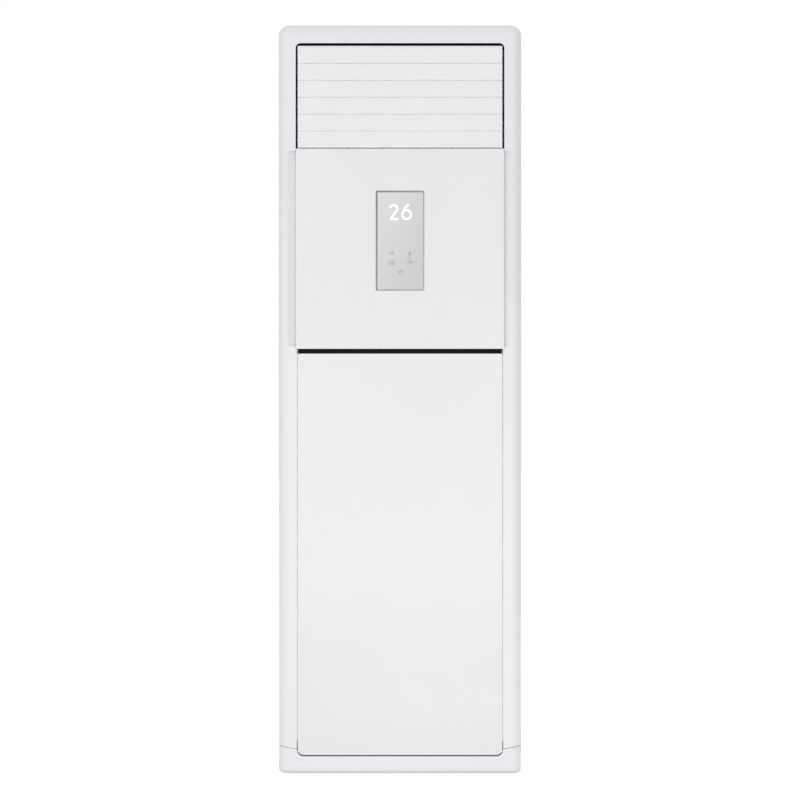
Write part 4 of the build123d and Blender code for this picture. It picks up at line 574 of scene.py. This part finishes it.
# ---- Display: bezel, digits and touch glyphs ----
def display_bezel():
    """The slanted frame round the display window, wider along its top and left."""
    low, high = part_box("display_window")
    panel_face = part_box("middle_panel")[0].y
    plate_face = low.y
    profile = ((-BEZEL_RIM, -BEZEL_RIM, panel_face + BEZEL_SETBACK),
               (BEZEL_WIDE, BEZEL_NARROW, plate_face - BEZEL_LIP),
               (BEZEL_WIDE, BEZEL_NARROW, plate_face),
               (-BEZEL_RIM, -BEZEL_RIM, plate_face))

    def build(shape):
        loops = []
        for near, far, y in profile:
            outline = rounded_loop(low.x + near, high.x - far, low.z + far, high.z - near,
                                   max(BEZEL_CORNER_LEAST, BEZEL_CORNER - near))
            loops.append([(x, y, z) for x, z in outline])
        skin_loops(shape, loops, True)
    return smooth(piece("display_bezel", build, BEZEL_GREY))


def digits():
    """The two lit digits, strokes on the plate. A stroke that crosses another lies above it."""
    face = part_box("display_window")[0].y

    # Centres, radii and angles as they measure in the photograph
    foot = DIGIT_BASE + DIGIT_PEN / 2
    corner = (-23.6 * MM, foot)
    two = arc(-15.4 * MM, DIGIT_BASE + 28.4 * MM, 8.8 * MM, 158, -38) + [corner]
    two_foot = [corner, (-6.8 * MM, foot)]
    six = arc(16.4 * MM, DIGIT_BASE + 13.2 * MM, 10.9 * MM, 148, -212, 28)
    six_back = arc(36.0 * MM, DIGIT_BASE + 12.0 * MM, 29.6 * MM, 168, 122, 8)

    def build(shape):
        for line in (two, six):
            stroke(shape, line, DIGIT_PEN, face - DIGIT_HEIGHT, DIGIT_DEPTH)
        for line in (two_foot, six_back):
            stroke(shape, line, DIGIT_PEN, face - CROSSING_HEIGHT, DIGIT_DEPTH)
    return piece("display_digits", build, DIGIT_WHITE)


def touch_glyphs():
    """Five plain touch marks: fan speed bars, an arrow, two waves, two lines and a power ring."""
    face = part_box("display_window")[0].y

    # Each mark's place is in metres and its points are in millimetres from there.
    bars = (-0.0213, 1.2833)
    arrow = (0.024, 1.2795)
    ring = (0.0018, 1.2386)
    wave = [(step - 7, 1.5 * sin(step * pi / 3.5)) for step in range(15)]
    marks = [(bars, ((across, 0), (across, height)))
             for across, height in ((-5.6, 2.4), (-1.9, 4.1), (1.8, 5.8), (5.5, 7.5))]
    marks += [
        (arrow, ((0, -10), (0, 6.4))),
        (arrow, ((-3.4, 4.4), (0, 8), (3.4, 4.4))),
        ((-0.021, 1.2642), wave),
        ((-0.021, 1.2586), wave),
        ((0.0248, 1.2652), ((-6.4, 0), (6.4, 0))),
        ((0.0248, 1.2614), ((-6.4, 0), (6.4, 0))),
        (ring, arc(0, 0, 5.2, 125, 415, 20)),
        (ring, ((0, 0.8), (0, 6.2))),
    ]

    def build(shape):
        for (x, z), points in marks:
            line = [(x + across * MM, z + up * MM) for across, up in points]
            stroke(shape, line, GLYPH_PEN, face - GLYPH_HEIGHT, GLYPH_DEPTH)
    return piece("touch_glyphs", build, GLYPH_GREY)


# ---- Floor, light and camera ----
def backdrop_material():
    """Pale floor: the camera and mirrors see it white, and it keeps the object's shadow."""
    material = bpy.data.materials.new("floor_pale")
    material.use_nodes = True
    tree = material.node_tree
    tree.nodes.clear()
    out = tree.nodes.new("ShaderNodeOutputMaterial")
    diffuse = tree.nodes.new("ShaderNodeBsdfDiffuse")
    diffuse.inputs["Color"].default_value = (FLOOR_TONE, FLOOR_TONE, FLOOR_TONE, 1.0)
    lift = tree.nodes.new("ShaderNodeEmission")
    lift.inputs["Color"].default_value = (1.0, 1.0, 1.0, 1.0)
    seen = seen_rays(tree)
    strength = tree.nodes.new("ShaderNodeMath")
    strength.operation = "MULTIPLY"
    strength.inputs[1].default_value = FLOOR_LIFT
    tree.links.new(seen, strength.inputs[0])
    tree.links.new(strength.outputs[0], lift.inputs["Strength"])
    both = tree.nodes.new("ShaderNodeAddShader")
    tree.links.new(diffuse.outputs[0], both.inputs[0])
    tree.links.new(lift.outputs[0], both.inputs[1])
    tree.links.new(both.outputs[0], out.inputs["Surface"])
    return material


def seen_rays(tree):
    """1 for rays from the camera, or on by way of gloss or glass."""
    path = tree.nodes.new("ShaderNodeLightPath")
    value = path.outputs["Is Camera Ray"]
    for name in ("Is Glossy Ray", "Is Transmission Ray"):
        either = tree.nodes.new("ShaderNodeMath")
        either.operation = "MAXIMUM"
        tree.links.new(value, either.inputs[0])
        tree.links.new(path.outputs[name], either.inputs[1])
        value = either.outputs[0]
    return value


def floor():
    """A wide plain floor."""
    mesh = bpy.data.meshes.new("floor")
    signs = ((-1, -1), (1, -1), (1, 1), (-1, 1))
    corners = [(x * FLOOR_REACH, y * FLOOR_REACH, 0) for x, y in signs]
    mesh.from_pydata(corners, [], [(0, 1, 2, 3)])
    made = bpy.data.objects.new("floor", mesh)
    bpy.context.scene.collection.objects.link(made)
    mesh.materials.append(backdrop_material())


def world():
    """Soft light from all round, weaker from behind than from the front and above. Mirrors see
    white, as the camera does."""
    made = bpy.data.worlds.new("studio")
    bpy.context.scene.world = made
    made.use_nodes = True
    tree = made.node_tree
    tree.nodes.clear()
    out = tree.nodes.new("ShaderNodeOutputWorld")
    light = tree.nodes.new("ShaderNodeBackground")
    split = tree.nodes.new("ShaderNodeSeparateXYZ")
    tree.links.new(tree.nodes.new("ShaderNodeTexCoord").outputs["Generated"], split.inputs[0])
    fade = tree.nodes.new("ShaderNodeMapRange")
    for name, value in (("From Min", -1.0), ("From Max", 0.4),
                        ("To Min", FRONT_STRENGTH), ("To Max", BACK_STRENGTH)):
        fade.inputs[name].default_value = value
    back_and_down = tree.nodes.new("ShaderNodeMath")
    back_and_down.operation = "MULTIPLY_ADD"
    back_and_down.inputs[1].default_value = BACK_TILT
    tree.links.new(split.outputs["Z"], back_and_down.inputs[0])
    tree.links.new(split.outputs["Y"], back_and_down.inputs[2])
    tree.links.new(back_and_down.outputs[0], fade.inputs["Value"])
    tree.links.new(fade.outputs["Result"], light.inputs["Strength"])
    white = tree.nodes.new("ShaderNodeBackground")
    white.inputs["Color"].default_value = (1.0, 1.0, 1.0, 1.0)
    choose = tree.nodes.new("ShaderNodeMixShader")
    tree.links.new(seen_rays(tree), choose.inputs[0])
    tree.links.new(light.outputs[0], choose.inputs[1])
    tree.links.new(white.outputs[0], choose.inputs[2])
    tree.links.new(choose.outputs[0], out.inputs["Surface"])


def softbox(name, place, target, size, power, mirrored):
    """A square soft light, aimed at a point, which glossy surfaces mirror or not."""
    data = bpy.data.lights.new(name, "AREA")
    data.shape = "SQUARE"
    data.size = size
    data.energy = power
    made = bpy.data.objects.new(name, data)
    made.location = place
    made.rotation_euler = (Vector(target) - Vector(place)).to_track_quat("-Z", "Y").to_euler()
    made.visible_camera = False
    made.visible_glossy = mirrored
    bpy.context.scene.collection.objects.link(made)


def camera():
    """The photograph's view: straight from the front, at the height of the picture's middle."""
    height = CAD_BOX[1][2]
    per_pixel = height / (BOTTOM_PIXEL - TOP_PIXEL)
    view_height = PICTURE * per_pixel
    middle = (BOTTOM_PIXEL - PICTURE / 2) * per_pixel
    edge = CAD_BOX[0][1] + OUTLINE_DEPTH
    distance = view_height * LENS / SENSOR
    data = bpy.data.cameras.new("camera")
    data.lens = LENS
    data.sensor_width = SENSOR
    made = bpy.data.objects.new("camera", data)
    made.location = (0.0, edge - distance, middle)
    made.rotation_euler = (pi / 2, 0.0, 0.0)
    bpy.context.scene.collection.objects.link(made)
    bpy.context.scene.camera = made


dress_nodes()
display_bezel()
digits()
touch_glyphs()
floor()
world()
for light in LIGHTS:
    softbox(*light)
camera()
bpy.context.scene.view_settings.view_transform = "Standard"
